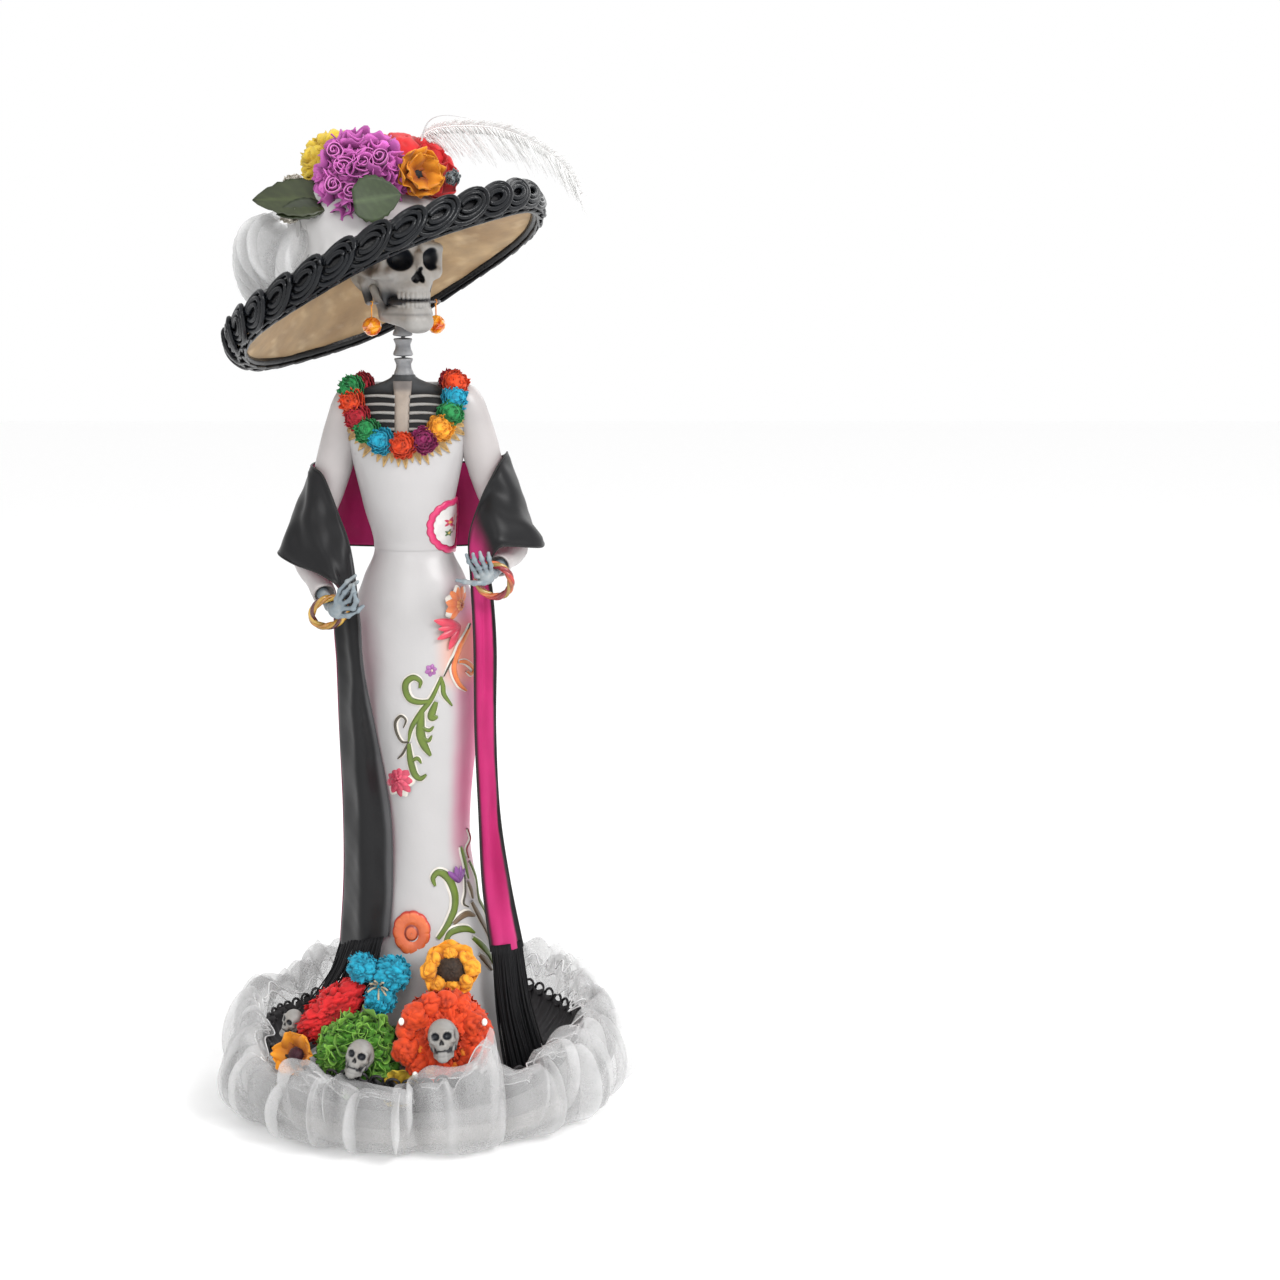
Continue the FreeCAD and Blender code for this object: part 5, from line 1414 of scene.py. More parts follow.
def base_flowers():
    """The big crepe flowers at the foot of the dress, and the beads glued on the orange one."""
    paper = crepe("crepe_paper")
    golden = ((0.45, 0.06, 0.004), (0.80, 0.22, 0.015))
    bag = Bag()
    centre, facing = np.array([23, -88, 75]), (0.1, -1, 0.3)
    crumple(bag, centre, facing, (34, 35, 17), PAPER["orange"], 1, crease=4.2, depth=0.20, rows=90, cols=130)
    wreath(bag, centre + np.array([0, -8, 0]), facing, 27, 10.5, PAPER["orange"], 2, 13, squash=(0.98, 1.04))
    pompom(bag, centre, facing, 39, 22, PAPER["orange"], 1, rings=5, waves=15, ruffle=0.11)
    wreath(bag, centre + np.array([0, -14, -6]), facing, 17, 4.5, golden, 3, 6)
    paper_piece(bag, "paper_flower_orange", paper, "figure", "flower_orange", "orange_paper")
    bag = Bag()
    centre, facing = np.array([-42, -88, 62]), (-0.2, -1, 0.4)
    crumple(bag, centre, facing, (31, 29, 16), PAPER["green"], 4, crease=4.0, depth=0.28, rows=80, cols=110)
    pompom(bag, centre, facing, 34, 20, PAPER["green"], 2, rings=6, waves=19, ruffle=0.2)
    curls(bag, centre, facing, 35, 21, ((0.03, 0.09, 0.006), (0.18, 0.40, 0.05)), 22, count=54, width=0.09)
    paper_piece(bag, "paper_flower_green", paper, "figure", "flower_green", "green_paper")
    bag = Bag()
    blue_heads = (((-40, -66, 122), 12.5), ((-18, -66, 117), 15.5), ((-26, -72, 99), 13.0))
    for number, (place, size) in enumerate(blue_heads):
        place, facing = np.array(place, float), (-0.1, -1, 0.3)
        crumple(bag, place, facing, (size * 0.92, size * 0.92, size * 0.6), PAPER["blue"], 40 + number,
                crease=2.8, depth=0.26, rows=50, cols=70)
        pompom(bag, place, facing, size, size * 0.62, PAPER["blue"], 30 + number, rings=4, waves=9, cols=70)
    for k in range(7):
        c, s = math.cos(k * 2.4), math.sin(k * 2.4)
        root = np.array([-27, -72, 109]) + np.array([c * 1.5, 0, s * 1.5])
        tip = root + np.array([c * 6, -9, s * 6])
        bend = mix(root, tip, 0.6) + np.array([0, -1.0, 1.0])
        bag.tube([root, bend, tip], 0.55, (0.45, 0.38, 0.26), sides=5)
    paper_piece(bag, "paper_flower_blue", paper, "figure", "flower_blue", "blue_paper")
    bag = Bag()
    centre, facing = np.array([27, -66, 120]), (0.15, -1, 0.35)
    wreath(bag, centre, facing, 15.5, 6.6, PAPER["yellow"], 5, 8, squash=(1.08, 0.82))
    petal_flower(bag, centre, facing, 22, 12, 8, PAPER["yellow"], 4, cup=0.35, ruffle=0.10, heart_size=0.46,
                 heart=(0.035, 0.02, 0.012))
    paper_piece(bag, "paper_flower_yellow", paper, "figure", "flower_yellow", "yellow_paper")
    bag = Bag()
    centre, facing = np.array([-66, -62, 86]), (-0.4, -1, 0.5)
    crumple(bag, centre, facing, (33, 15, 13), PAPER["red"], 6, crease=3.6, depth=0.24, rows=70, cols=100,
            roll=48)
    pompom(bag, centre, facing, 30, 15, PAPER["red"], 5, rings=5, ruffle=0.16, squash=(1.12, 0.62), roll=48)
    paper_piece(bag, "paper_flower_red", paper, "figure", "flower_red", "red_paper")
    bag = Bag()
    petal_flower(bag, np.array([-90, -82, 58]), (-0.4, -1, 0.5), 17, 10, 6, PAPER["gold"], 6, cup=1.0,
                 ruffle=0.14, heart_size=0.36, heart=(0.05, 0.01, 0.02))
    petal_flower(bag, np.array([-9, -108, 41]), (0, -1, 0.4), 15, 9, 6, PAPER["lemon"], 7, cup=0.6,
                 ruffle=0.16, heart_size=0.2)
    paper_piece(bag, "paper_flowers_small", paper, "figure", "flowers_small", "yellow_paper")

    # beads glued on the orange flower
    beads = Bag()
    a, t = np.meshgrid(round_angles(16), np.linspace(0.02, math.pi - 0.02, 9))
    oval = np.stack([2.2 * np.sin(t) * np.cos(a), 2.2 * np.sin(t) * np.sin(a), 3.0 * np.cos(t)], -1)
    for place in ((-6, -114, 96), (55, -104, 92), (4, -119, 56), (48, -112, 60)):
        beads.grid(np.array(place) + oval, (0.85, 0.83, 0.78), around=True)
    pearl = surface("pearl_bead", rough=0.15, mottle=0.05, coat=0.6)
    beads.piece("flower_beads", pearl, "figure", slot="white_paint")


def rosette():
    """Flat scalloped flower with a button in the middle, raised on the dress."""
    radius = 17.2
    centre = middle("flower_rosette") - np.array([0.5, 0, 3.5])
    angle = round_angles(180)
    bag = Bag()
    steps = np.array([0.02, 0.25, 0.33, 0.37, 0.42, 0.55, 0.75, 0.90, 0.97, 1.0, 0.98])
    height = np.array([2.6, 2.4, 2.0, 0.6, 1.2, 2.0, 2.3, 2.1, 1.4, 0.2, -2.5])
    outline = radius * (1 + 0.045 * np.abs(np.sin(angle * 5.5)) + 0.015 * np.sin(angle * 3))
    r = steps[:, None] * outline
    r[:5] = steps[:5, None] * radius
    groove = 0.35 * hump(np.sin(angle * 5.5), 0, 0.16) * smoothstep(0.5, 0.9, steps)[:, None]
    x, z = centre[0] + 0.83 * r * np.cos(angle), centre[2] + 0.98 * r * np.sin(angle)
    skin = dress_front(x, z)
    y = skin[..., 1] * 0.35 + dress_front(centre[0], centre[2])[1] * 0.65
    grid = np.stack([x, y - height[:, None] + groove, z], -1)
    tint = mix((0.72, 0.17, 0.05), (0.50, 0.06, 0.015), np.clip(0.5 + 0.5 * wander(grid, 50, 6), 0, 1) * 0.6)
    tint[2:4] = (0.22, 0.02, 0.01)
    tint[8:] = (0.50, 0.035, 0.02)
    bag.grid(grid[:, ::-1], tint[:, ::-1], around=True)
    paint = surface("rosette_paint", rough=0.4, mottle=0.15, coat=0.3, lumps=0.0004, lump_scale=300)
    bag.piece("rosette_orange", paint, "figure", replaces=["flower_rosette"], slot="orange_paper")


def garland():
    """Paper roses round the neckline, with pointed gold lace hanging under them."""
    paper = crepe("garland_paper")
    bags = {colour: Bag() for colour in ("green", "orange", "red", "blue", "magenta", "yellow")}
    roses = []
    for colour, angle in GARLAND:
        a = math.radians(angle)
        x, z = NECKLINE[0] + 40 * math.cos(a), NECKLINE[1] + 1 + 40 * math.sin(a)
        place = dress_front(x, min(z, 556.0), 5.0)
        place[0], place[2] = x, z
        roses.append((colour, place))
    roses += [("red", np.array([-40, 5, 558])), ("red", np.array([29, 8, 560]))]
    for number, (colour, place) in enumerate(roses):
        bag, facing = bags[colour], (place[0] * 0.012, -1, 0.25)
        shades = PAPER[GARLAND_PAPER.get(colour, colour)]
        crumple(bag, place, facing, (7.6, 7.6, 5.6), shades, 60 + number, depth=0.16, rows=40, cols=56)
        pompom(bag, place, facing, 11.0, 7.6, shades, 60 + number, rings=5, waves=6, ruffle=0.20, cols=72)
        curls(bag, place, facing, 7.0, 8.6, shades, 90 + number, count=5, width=0.34)
    for colour, bag in bags.items():
        node = "garland_roses_" + colour
        paper_piece(bag, "roses_" + colour, paper, "figure", node, colour + "_paper", 0.4)

    # pointed gold lace under the roses
    lace = Bag()
    for k in range(26):
        a = math.radians(200 + k * 140 / 25)
        tip = 17.5 + 2.5 * math.sin(k * 2.1)
        for inner, outer, half, lift in ((3.0, tip, 3.6, 1.6), (5.0, tip - 3.5, 2.0, 2.2)):
            u = np.linspace(-1, 1, 7)
            rows = []
            for t in np.linspace(0, 1, 8):
                r = NECKLINE[2] + inner + (outer - inner) * t
                width = half * (1 - t ** 1.5) + 0.15
                x = NECKLINE[0] + r * math.cos(a) - u * width * math.sin(a)
                z = NECKLINE[1] + r * math.sin(a) + u * width * math.cos(a)
                row = dress_front(x, np.minimum(z, 556), lift)
                row[:, 2] = z
                rows.append(row)
            tone = (0.46, 0.29, 0.10) if lift < 2 else (0.30, 0.17, 0.045)
            lace.grid(np.stack(rows), tone)
    gold = surface("gold_lace", rough=0.38, mottle=0.35, mottle_scale=300, grain=1800, grain_depth=0.0003,
                   coat=0.2)
    paper_piece(lace, "gold_lace_points", gold, "figure", "neckline_lace", "gold_lace")


def hat_flowers():
    """The four flowers on the front of the crown."""
    paper = crepe("hat_crepe")
    bag = Bag()
    centre, facing = np.array([-34, -22, 711]), (-0.1, -1, 0.35)
    curls(bag, centre, facing, 38, 24, PAPER["purple"], 11, count=52, width=0.20)
    crumple(bag, centre, facing, (33, 30, 17), PAPER["purple"], 12, crease=5.5, depth=0.24, rows=70, cols=100)
    pompom(bag, centre, facing, 33, 18, PAPER["purple"], 12, rings=3, waves=8, ruffle=0.2)
    spirals = ((-9, 2, 8), (7, 6, 10), (-15, -12, 7), (18, 10, 7), (-2, -17, 7), (-16, 14, 7))
    turn = np.linspace(0, 4.2 * math.pi, 60)
    v, t = np.meshgrid(np.linspace(0, 1, 4), turn, indexing="ij")
    wound = t / turn[-1]
    for k, (x, y, size) in enumerate(spirals):
        spiral = size * (1 - 0.82 * wound) * (1 + 0.05 * np.sin(3 * t + k))
        local = np.stack([x + spiral * np.cos(t + k), y + spiral * np.sin(t + k),
                          15 + 5.5 * v + 3.0 * wound], -1)
        # painted shade: dark at the foot of each wound strip, lit at its upper edge
        tint = mix(PAPER["purple"][0], (0.72, 0.22, 0.58), v ** 0.8)
        bag.grid(place_local(local, centre, basis(facing)), tint)
    paper_piece(bag, "hat_curls_purple", paper, "hat", "hat_flower_purple", "purple_paper")
    bag = Bag()
    facing = (-0.5, -0.5, 0.8)
    crumple(bag, np.array([-60, 8, 725]), facing, (25, 25, 18), PAPER["lemon"], 13, crease=6, depth=0.26,
            rows=60, cols=90)
    pompom(bag, np.array([-60, 8, 726]), facing, 26, 18, PAPER["lemon"], 13, rings=4, waves=6, ruffle=0.16)
    paper_piece(bag, "hat_petals_yellow", paper, "hat", "hat_flower_yellow", "yellow_paper")
    bag = Bag()
    centre, facing = np.array([-9, 12, 714]), (0.25, -0.35, 1)
    crumple(bag, centre, facing, (45, 31, 30), PAPER["red"], 14, crease=11, depth=0.10, rows=80, cols=120)
    pompom(bag, np.array([10, 4, 716]), (0.5, -0.4, 0.8), 32, 22, PAPER["red"], 14, rings=4, waves=6,
           ruffle=0.07)
    paper_piece(bag, "hat_petals_red", paper, "hat", "hat_flower_red", "red_paper")
    bag = Bag()
    centre, facing = np.array([9, -27, 714]), (0.6, -1, 0.25)
    petal_flower(bag, centre, facing, 18.5, 13, 5, PAPER["gold"], 15, cup=0.9, ruffle=0.16, heart_size=0.24,
                 heart=(0.010, 0.012, 0.014), layers=2, wide=0.74)
    paper_piece(bag, "hat_petals_orange", paper, "hat", "hat_flower_orange", "orange_paper")


def leaf_patch(bag, root, tip, half, droop, tint, normal):
    """Leaf of cloth from root to tip with notched edges and veins; `normal` is the way it faces."""
    root, tip = np.array(root, float), np.array(tip, float)
    along = tip - root
    side = unit(np.cross(along, normal))
    up = unit(np.cross(side, along))
    v, u = patch_grid(16, 11)
    width = half * np.sin(np.clip(v * 0.93 + 0.07, 0, 1) ** 0.8 * math.pi) ** 0.75 + 0.2
    notch = 1 + 0.06 * np.sin(v * 40) * np.abs(u) ** 4
    ribbed = np.sin(v * 36 - np.abs(u) * 9)
    rise = 2.2 * np.abs(u) ** 1.3 * np.sin(v * math.pi) + 0.25 * ribbed - droop * v ** 2
    grid = root + v[..., None] * along + (u * width * notch)[..., None] * side + rise[..., None] * up
    vein = hump(u, 0, 0.09) * 0.6 + 0.2 * (ribbed > 0.6)
    bag.grid(grid, mix(tint, np.array(tint) * 2.2, vein))


def hat_greenery():
    """Cloth leaves and small paper buds among the hat's flowers."""
    bag = Bag()
    leaf_patch(bag, (-58, -24, 696), (-112, -33, 697), 17, 3, (0.030, 0.040, 0.012), normal=(0, -1, 0.75))
    leaf_patch(bag, (-62, -30, 690), (-94, -38, 686), 9, 2, (0.018, 0.026, 0.008), normal=(0, -1, 0.6))
    leaf_patch(bag, (-36, -53, 694), (-1, -52, 699), 17, -3, (0.038, 0.058, 0.022), normal=(0, -1, 0.15))
    leaf = surface("leaf_cloth", rough=0.45, mottle=0.3, grain=1200, coat=0.1)
    paper_piece(bag, "hat_leaf_cloth", leaf, "hat", "hat_leaves", "leaf_paper")

    buds = Bag()
    rng = np.random.default_rng(3)
    cream, grey = ((0.30, 0.27, 0.20), (0.74, 0.70, 0.62)), ((0.06, 0.07, 0.08), (0.25, 0.28, 0.29))
    for centre, radius, shades in (((-85, -14, 708), 6.0, cream), ((-84, -30, 684), 6.0, cream),
                                   ((34, -22, 712), 4.4, grey)):
        for k in range(5):
            facing = rng.normal(size=3) + np.array([0, -1.2, 0.4])
            pompom(buds, np.array(centre) + rng.normal(size=3) * 1.2, facing, radius, 5.0, shades, 200 + k,
                   rings=2, waves=4, ruffle=0.4, cols=28)
    bud = surface("bud_paper", rough=0.5, mottle=0.2)
    paper_piece(buds, "hat_bud_paper", bud, "hat", "hat_buds", "white_paint", 0.4)


def feather():
    """Quill with wispy barbs that hang more openly towards the tip."""
    quill = spline([(0, 6, 728), (12, 10, 745), (34, 16, 750), (66, 22, 748), (96, 28, 735), (118, 32, 716),
                    (127, 35, 698)], 90)
    bag = Bag()
    t = np.linspace(0, 1, 90)
    white = (0.86, 0.86, 0.85)
    bag.tube(quill, 0.8 - 0.6 * t, white, sides=6)
    rng = np.random.default_rng(8)
    along = unit(np.gradient(quill, axis=0))
    side = unit(np.array([0.2, -0.5, 1.0]))
    for k in range(760):
        s = rng.uniform(0.03, 1.0)
        i = int(s * 88)
        way = 1 if k % 2 else -1
        lower = way < 0
        length = (8 + 10 * math.sin(min(s * 1.15, 1) * math.pi) ** 0.7) * (1.25 if lower else 0.62)
        length *= rng.uniform(0.75, 1.15)
        if s > 0.72 and lower:
            length *= 1.25
        lean = along[i] * rng.uniform(0.55, 1.0) + side * way * rng.uniform(0.7, 1.0)
        lean = unit(lean + np.array([0, rng.uniform(-0.28, 0.28), 0]))
        w = np.linspace(0, 1, 6)[:, None]
        sag = np.array([0.25 * length, 0, -0.42 * length]) * (1.0 if lower else 0.35)
        path = quill[i] + lean * length * w + sag * w ** 2
        bag.tube(path, 0.34 * (1 - 0.75 * w[:, 0]), white, sides=4)
    stray = spline([(8, 4, 736), (14, 2, 752), (26, 0, 757), (44, 2, 755)], 16)
    bag.tube(stray, 0.9 - 0.6 * np.linspace(0, 1, 16), (0.55, 0.56, 0.56), sides=5, flat=0.4)
    down = surface("feather_down", rough=0.75, mottle=0.04, sheen=0.5)
    bag.piece("feather_barbs", down, "hat", replaces=["hat_feather"], slot="feather")
    vane_rows = []
    for i in range(0, 90, 3):
        s = i / 89
        above = side * 3.2 * math.sin(min(s + 0.05, 1) * math.pi) ** 0.5
        below = side * 6.5 * math.sin(min(s + 0.05, 1) * math.pi) ** 0.6
        vane_rows.append(quill[i] + np.stack([above, above * 0.4, 0 * above, below * -0.5, -below]))
    vane = Bag()
    vane.grid(np.stack(vane_rows), (0.80, 0.80, 0.79))
    soft = surface("feather_vane", rough=0.8, mottle=0.05, alpha=0.75)
    paper_piece(vane, "feather_vane_sheet", soft, "hat", None, "feather", 0.25)


# ---- tulle and lace ---------------------------------------------------------------------

def net_material(name, alpha, tone=0.80):
    """White net that lets the light and what is behind it through."""
    n = Nodes(name)
    n.shader.inputs["Base Color"].default_value = (tone, tone, tone, 1)
    n.shader.inputs["Roughness"].default_value = 0.75
    n.shader.inputs["Sheen Weight"].default_value = 0.3
    n.shader.inputs["Specular IOR Level"].default_value = 0.2
    wash = n.ramp(n.noise(60, 4.0), "Fac", [(0.3, (tone * 0.93,) * 3), (0.7, (tone * 1.04,) * 3)])
    # the mesh's tint carries painted shade in the valleys of the folds and painted light on their crests
    folds = n.add("ShaderNodeAttribute", attribute_name="tint")
    n.link(n.multiply(folds, "Color", wash, 0), 2, n.shader, "Base Color")
    see = n.add("ShaderNodeMapRange")
    see.inputs["To Min"].default_value = alpha - 0.08
    see.inputs["To Max"].default_value = alpha + 0.08
    n.link(n.noise(900, 2.0), "Fac", see, "Value")
    n.link(see, 0, n.shader, "Alpha")
    return n.material


def edge_cord(loop, radius, sides=6):
    """Thin round cord along a closed loop of places."""
    along = unit(np.roll(loop, -1, 0) - np.roll(loop, 1, 0))
    across = unit(np.cross(along, (0, 0, 1.0)))
    rise = np.cross(across, along)
    turn = round_angles(sides)[:, None]
    ring = loop[:, None] + radius * (across[:, None] * np.cos(turn) + rise[:, None] * np.sin(turn))
    return np.concatenate([ring, ring[:1]])


def near(a, bearing, half):
    """1 where angle a has a bearing in degrees, fading away over `half` degrees on both sides."""
    return hump((np.degrees(a) - bearing + 180) % 360 - 180, 0, half)


# the net's loops: bearing in degrees, half width in degrees and how high they stand or hang
TULLE_LOOPS = ((-67, 6, 36), (-80, 4, 10), (-122, 5, 9), (-38, 7, 10), (-138, 10, -12))
# bearing in degrees, half width in degrees and how far the net puffs out or is drawn in there
TULLE_BULGES = ((-97, 6, 8), (-107, 1.8, -9), (-87, 1.8, -9), (-120, 7, 6), (-134, 2.2, -7), (-150, 9, 7),
                (-72, 5, 5), (-60, 2.0, -8), (-45, 8, 7), (-30, 2.4, -7), (-12, 10, 6), (15, 3, -5),
                (40, 9, 4), (90, 12, 4), (140, 9, 4), (172, 8, 5), (-171, 2.5, -6))
# layers of net: name, seed, number of waves, (radius, height) from the board to the hem, depth of the waves
TULLE_LAYERS = (
    ("tulle_outer", 1, 27, [(122, 3), (140, 2.5), (155, 13), (159, 34), (152, 55), (140, 66), (131, 60)], 9),
    ("tulle_inner", 2, 19, [(124, 3), (134, 6), (145, 24), (150, 46), (146, 66), (135, 71), (127, 58)], 8),
)


def tulle():
    """Gathered net round the base: two billowing layers with loose, folded-back loops."""
    net = net_material("tulle_net", 0.36, 0.66)
    thread = surface("tulle_hem_thread", rough=0.6, mottle=0.05, grain=2000)
    made, hems = [], []
    for name, seed, waves, profile, spread in TULLE_LAYERS:
        cols, rows = 900, 26
        a = round_angles(cols)
        curve = spline(profile, rows)
        v = np.linspace(0, 1, rows)[:, None]
        uneven = np.sin(3 * a + seed) * 0.5 + np.sin(5 * a + 2 * seed) * 0.4 + np.sin(8 * a + 3 * seed) * 0.3
        wave = np.sin(waves * a + 2.4 * uneven + 1.1 * v)
        small = np.sin(waves * 2.6 * a + 3.1 * uneven + 2.5 * v)
        grow = smoothstep(0.0, 0.45, v)
        bunch = 1.0 + 0.7 * np.sin(2 * a + seed) * np.sin(5 * a + 1.3) + 0.35 * np.sin(11 * a + seed)
        turned = a + 1.35 / waves * grow * bunch * np.cos(waves * a + 2.4 * uneven)
        front = 0.5 - 0.5 * np.sin(a)
        r = curve[:, :1] + spread * grow * bunch * (0.55 * wave + 0.28 * small) - 3.0 * grow
        billow = 0.55 * np.sin(waves * 0.5 * a + 3 * uneven) + 0.3 * small
        z = curve[:, 1:] + spread * grow * billow * (0.3 + v)
        z = z * (1 + (0.28 - 0.56 * front ** 1.4) * smoothstep(0.3, 1, v)) + 0 * a
        for bearing, half, height in TULLE_LOOPS:
            z = z + height * near(a, bearing, half) * smoothstep(0.35, 0.85, v)
        for bearing, half, out in TULLE_BULGES:
            r = r + out * near(a, bearing, half) * grow
        r = np.minimum(r, 167 + 1.5 * wave)
        grid = np.stack([r * np.cos(turned), r * np.sin(turned), np.clip(z, 1.2, 96)], -1)
        hem = Bag()
        hem.grid(edge_cord(grid[-1], 0.55), (0.78, 0.78, 0.78), around=True)
        hems.append(hem.piece(name + "_hem", thread, "figure", slot="white_tulle"))
        bag = Bag()
        # painted shade in the valleys of the folds and painted light on their crests; lighter along the hem
        crest = (0.55 + 0.45 * wave) * (0.8 + 0.2 * small)
        shade = 0.74 + 0.40 * crest * grow + 0.16 * (1 - grow) + 0.15 * smoothstep(0.9, 1, v)
        bag.grid(grid, np.repeat(shade[..., None], 3, axis=2), around=True)
        nodes = [] if made else ["tulle_ruffle"]
        made.append(bag.piece(name, net, "figure", replaces=nodes, slot="white_tulle"))


def hat_net():
    """Gathered net that billows over the right side and the back of the crown."""
    net = net_material("hat_net", 0.42, 0.62)
    cols, rows = 420, 18
    a = np.linspace(108, 232, cols)
    v = np.linspace(0, 1, rows)[:, None]
    profile = spline([(60, 36), (78, 24), (92, 30), (98, 50), (91, 70), (78, 79), (62, 80)], rows)
    uneven = 0.5 * np.sin(np.radians(a) * 5) + 0.4 * np.sin(np.radians(a) * 11 + 1)
    wave = np.sin(np.radians(a) * 46 + 2.2 * uneven)
    ends = smoothstep(108, 122, a) * (1 - smoothstep(218, 232, a))
    grow = smoothstep(0.05, 0.5, v)
    radius = profile[:, :1] + 5.5 * grow * wave - (1 - ends) * 10 * grow
    rise = profile[:, 1:] + 5.0 * grow * np.sin(np.radians(a) * 51 + 3 * uneven) * ends
    a = a + 2.4 * grow * np.cos(np.radians(a) * 46 + 2.2 * uneven)
    base = HAT_RISE(np.minimum(radius, HAT_EDGE)) + 5
    rise = np.maximum(base + (rise - base) * (0.15 + 0.85 * ends), base)
    grid = round_hat(radius, a, rise)
    bag = Bag()
    # painted light on the crests of the gathers and painted shade between them
    shade = (0.70 + 0.42 * (0.5 + 0.5 * wave) * (0.4 + 0.6 * grow))[..., None]
    bag.grid(grid, np.broadcast_to(shade, grid.shape))
    made = bag.piece("hat_net_ruffle", net, "hat", replaces=["hat_tulle"], slot="white_tulle")


def hem_lace():
    """Black lace frill round the foot of the dress, its upper edge set with loops."""
    tint = (0.012, 0.010, 0.012)
    bag = Bag()
    a = round_angles(720)
    rows = []
    for t in np.linspace(0, 1, 9):
        r = 101 + 23 * math.sin(t * 1.5) + (2.2 * np.sin(60 * a) + 1.2 * np.sin(23 * a)) * t
        z = 20 + 33 * t + 1.6 * np.sin(60 * a + 1.3) * t + 2.0 * np.sin(9 * a) * t
        rows.append(np.stack([r * np.cos(a), r * np.sin(a), z], -1))
    bag.grid(np.stack(rows), tint, around=True)
    black = surface("lace_thread", rough=0.5, mottle=0.3, grain=1600)
    paper_piece(bag, "hem_lace_frill", black, "figure", "hem_lace", "black_lace", 0.6)
    loops = Bag()
    turn = np.linspace(0, 2 * math.pi, 15)
    for bearing in round_angles(64):
        out = np.array([math.cos(bearing), math.sin(bearing), 0])
        around = np.array([-math.sin(bearing), math.cos(bearing), 0])
        centre = 124 * out + np.array([0, 0, 52 + 2 * math.sin(9 * bearing)])
        path = centre + np.outer(5.0 * np.cos(turn), around) + np.outer(np.sin(turn), 1.5 * out + (0, 0, 4.6))
        loops.tube(path, 1.1, tint, sides=6)
    loops.piece("hem_lace_loops", black, "figure", slot="black_lace")


# ---- raised and painted ornament on the dress -------------------------------------------

STROKES = {
    # name: colour, half width in mm, places as (angle, height)
    "stem_dark": ("bark", 1.0, [(30, 379), (41, 367), (53, 354), (63, 341)]),
    "stem_green": ("leaf", 2.0, [(65, 341), (75, 325), (86, 314), (96, 302), (100, 291)]),
    "stem_to_rose": ("bark", 0.9, [(100, 291), (107, 282), (114, 277)]),
    "orange_scroll": ("orange", 2.6, [(31, 376), (40, 367), (46, 360), (52, 347), (47, 335), (37, 328)]),
    "orange_curl": ("orange", 1.8, [(47, 351), (37, 350), (26, 344), (29, 340), (37, 343)]),
    "leaf_c": ("leaf", 2.5, [(75, 323), (86, 322), (95, 324), (99, 330), (98, 337), (91, 341), (85, 338),
                             (86, 333)]),
    "leaf_right": ("leaf", 2.0, [(66, 341), (64, 334), (63, 327), (55, 318)]),
    "leaf_triangle": ("leaf", 3.0, [(71, 322), (76, 311), (70, 310)]),
    "leaf_serrated": ("leaf", 3.4, [(85, 315), (87, 303), (87, 296), (84, 288), (78, 280)]),
    "tooth_1": ("leaf", 1.5, [(87, 303), (79, 300), (74, 303)]),
    "tooth_2": ("leaf", 1.5, [(87, 296), (80, 292), (76, 296)]),
    "scroll_thin": ("bark", 1.1, [(99, 291), (107, 291), (112, 298), (112, 306), (106, 311), (101, 308),
                                  (104, 302)]),
    "leaf_low": ("leaf", 2.6, [(100, 290), (100, 281), (99, 273), (96, 265), (90, 262), (83, 265)]),
    "leaf_branch": ("leaf", 1.5, [(98, 276), (92, 278), (88, 274)]),
    "stem_low": ("bark", 1.0, [(35, 182), (38, 169), (43, 161), (37, 157)]),
    "brown_high": ("brown", 2.0, [(31, 176), (27, 169), (27, 162)]),
    "scroll_big": ("leaf", 3.2, [(76, 137), (68, 144), (62, 150), (55, 159), (53, 169), (57, 179), (64, 185),
                                 (72, 187), (78, 183), (76, 177)]),
    "brown_low": ("brown", 2.6, [(59, 147), (49, 151), (39, 152), (30, 149)]),
    "leaf_low_green": ("leaf", 2.8, [(70, 133), (64, 140), (55, 142), (44, 141), (36, 137)]),
    "leaf_side": ("leaf", 2.6, [(40, 134), (30, 126), (22, 118), (16, 108)]),
    "brown_side": ("brown", 2.6, [(30, 160), (22, 148), (15, 136), (12, 122)]),
    "brown_foot": ("brown", 2.4, [(36, 120), (28, 113), (20, 104)]),
    "leaf_high": ("leaf", 2.0, [(36, 204), (31, 192), (29, 178)]),
    "thread_red": ("red", 0.9, [(19, 216), (9, 207), (24, 201), (22, 193)]),
    "vine_side": ("leaf", 2.0, [(20, 190), (8, 176), (12, 160), (2, 148), (8, 134)]),
}
# colours of a stroke: a painted highlight on its crest and painted shade along its edges
STROKE_TINTS = {
    "leaf": ((0.115, 0.175, 0.012), (0.040, 0.060, 0.008)),
    "bark": ((0.060, 0.050, 0.030), (0.030, 0.024, 0.016)),
    "orange": ((0.72, 0.20, 0.055), (0.42, 0.07, 0.03)),
    "brown": ((0.16, 0.105, 0.055), (0.075, 0.045, 0.022)),
    "red": ((0.30, 0.025, 0.04), (0.16, 0.01, 0.02)),
    "cream": ((0.66, 0.62, 0.56), (0.62, 0.58, 0.52)),
}


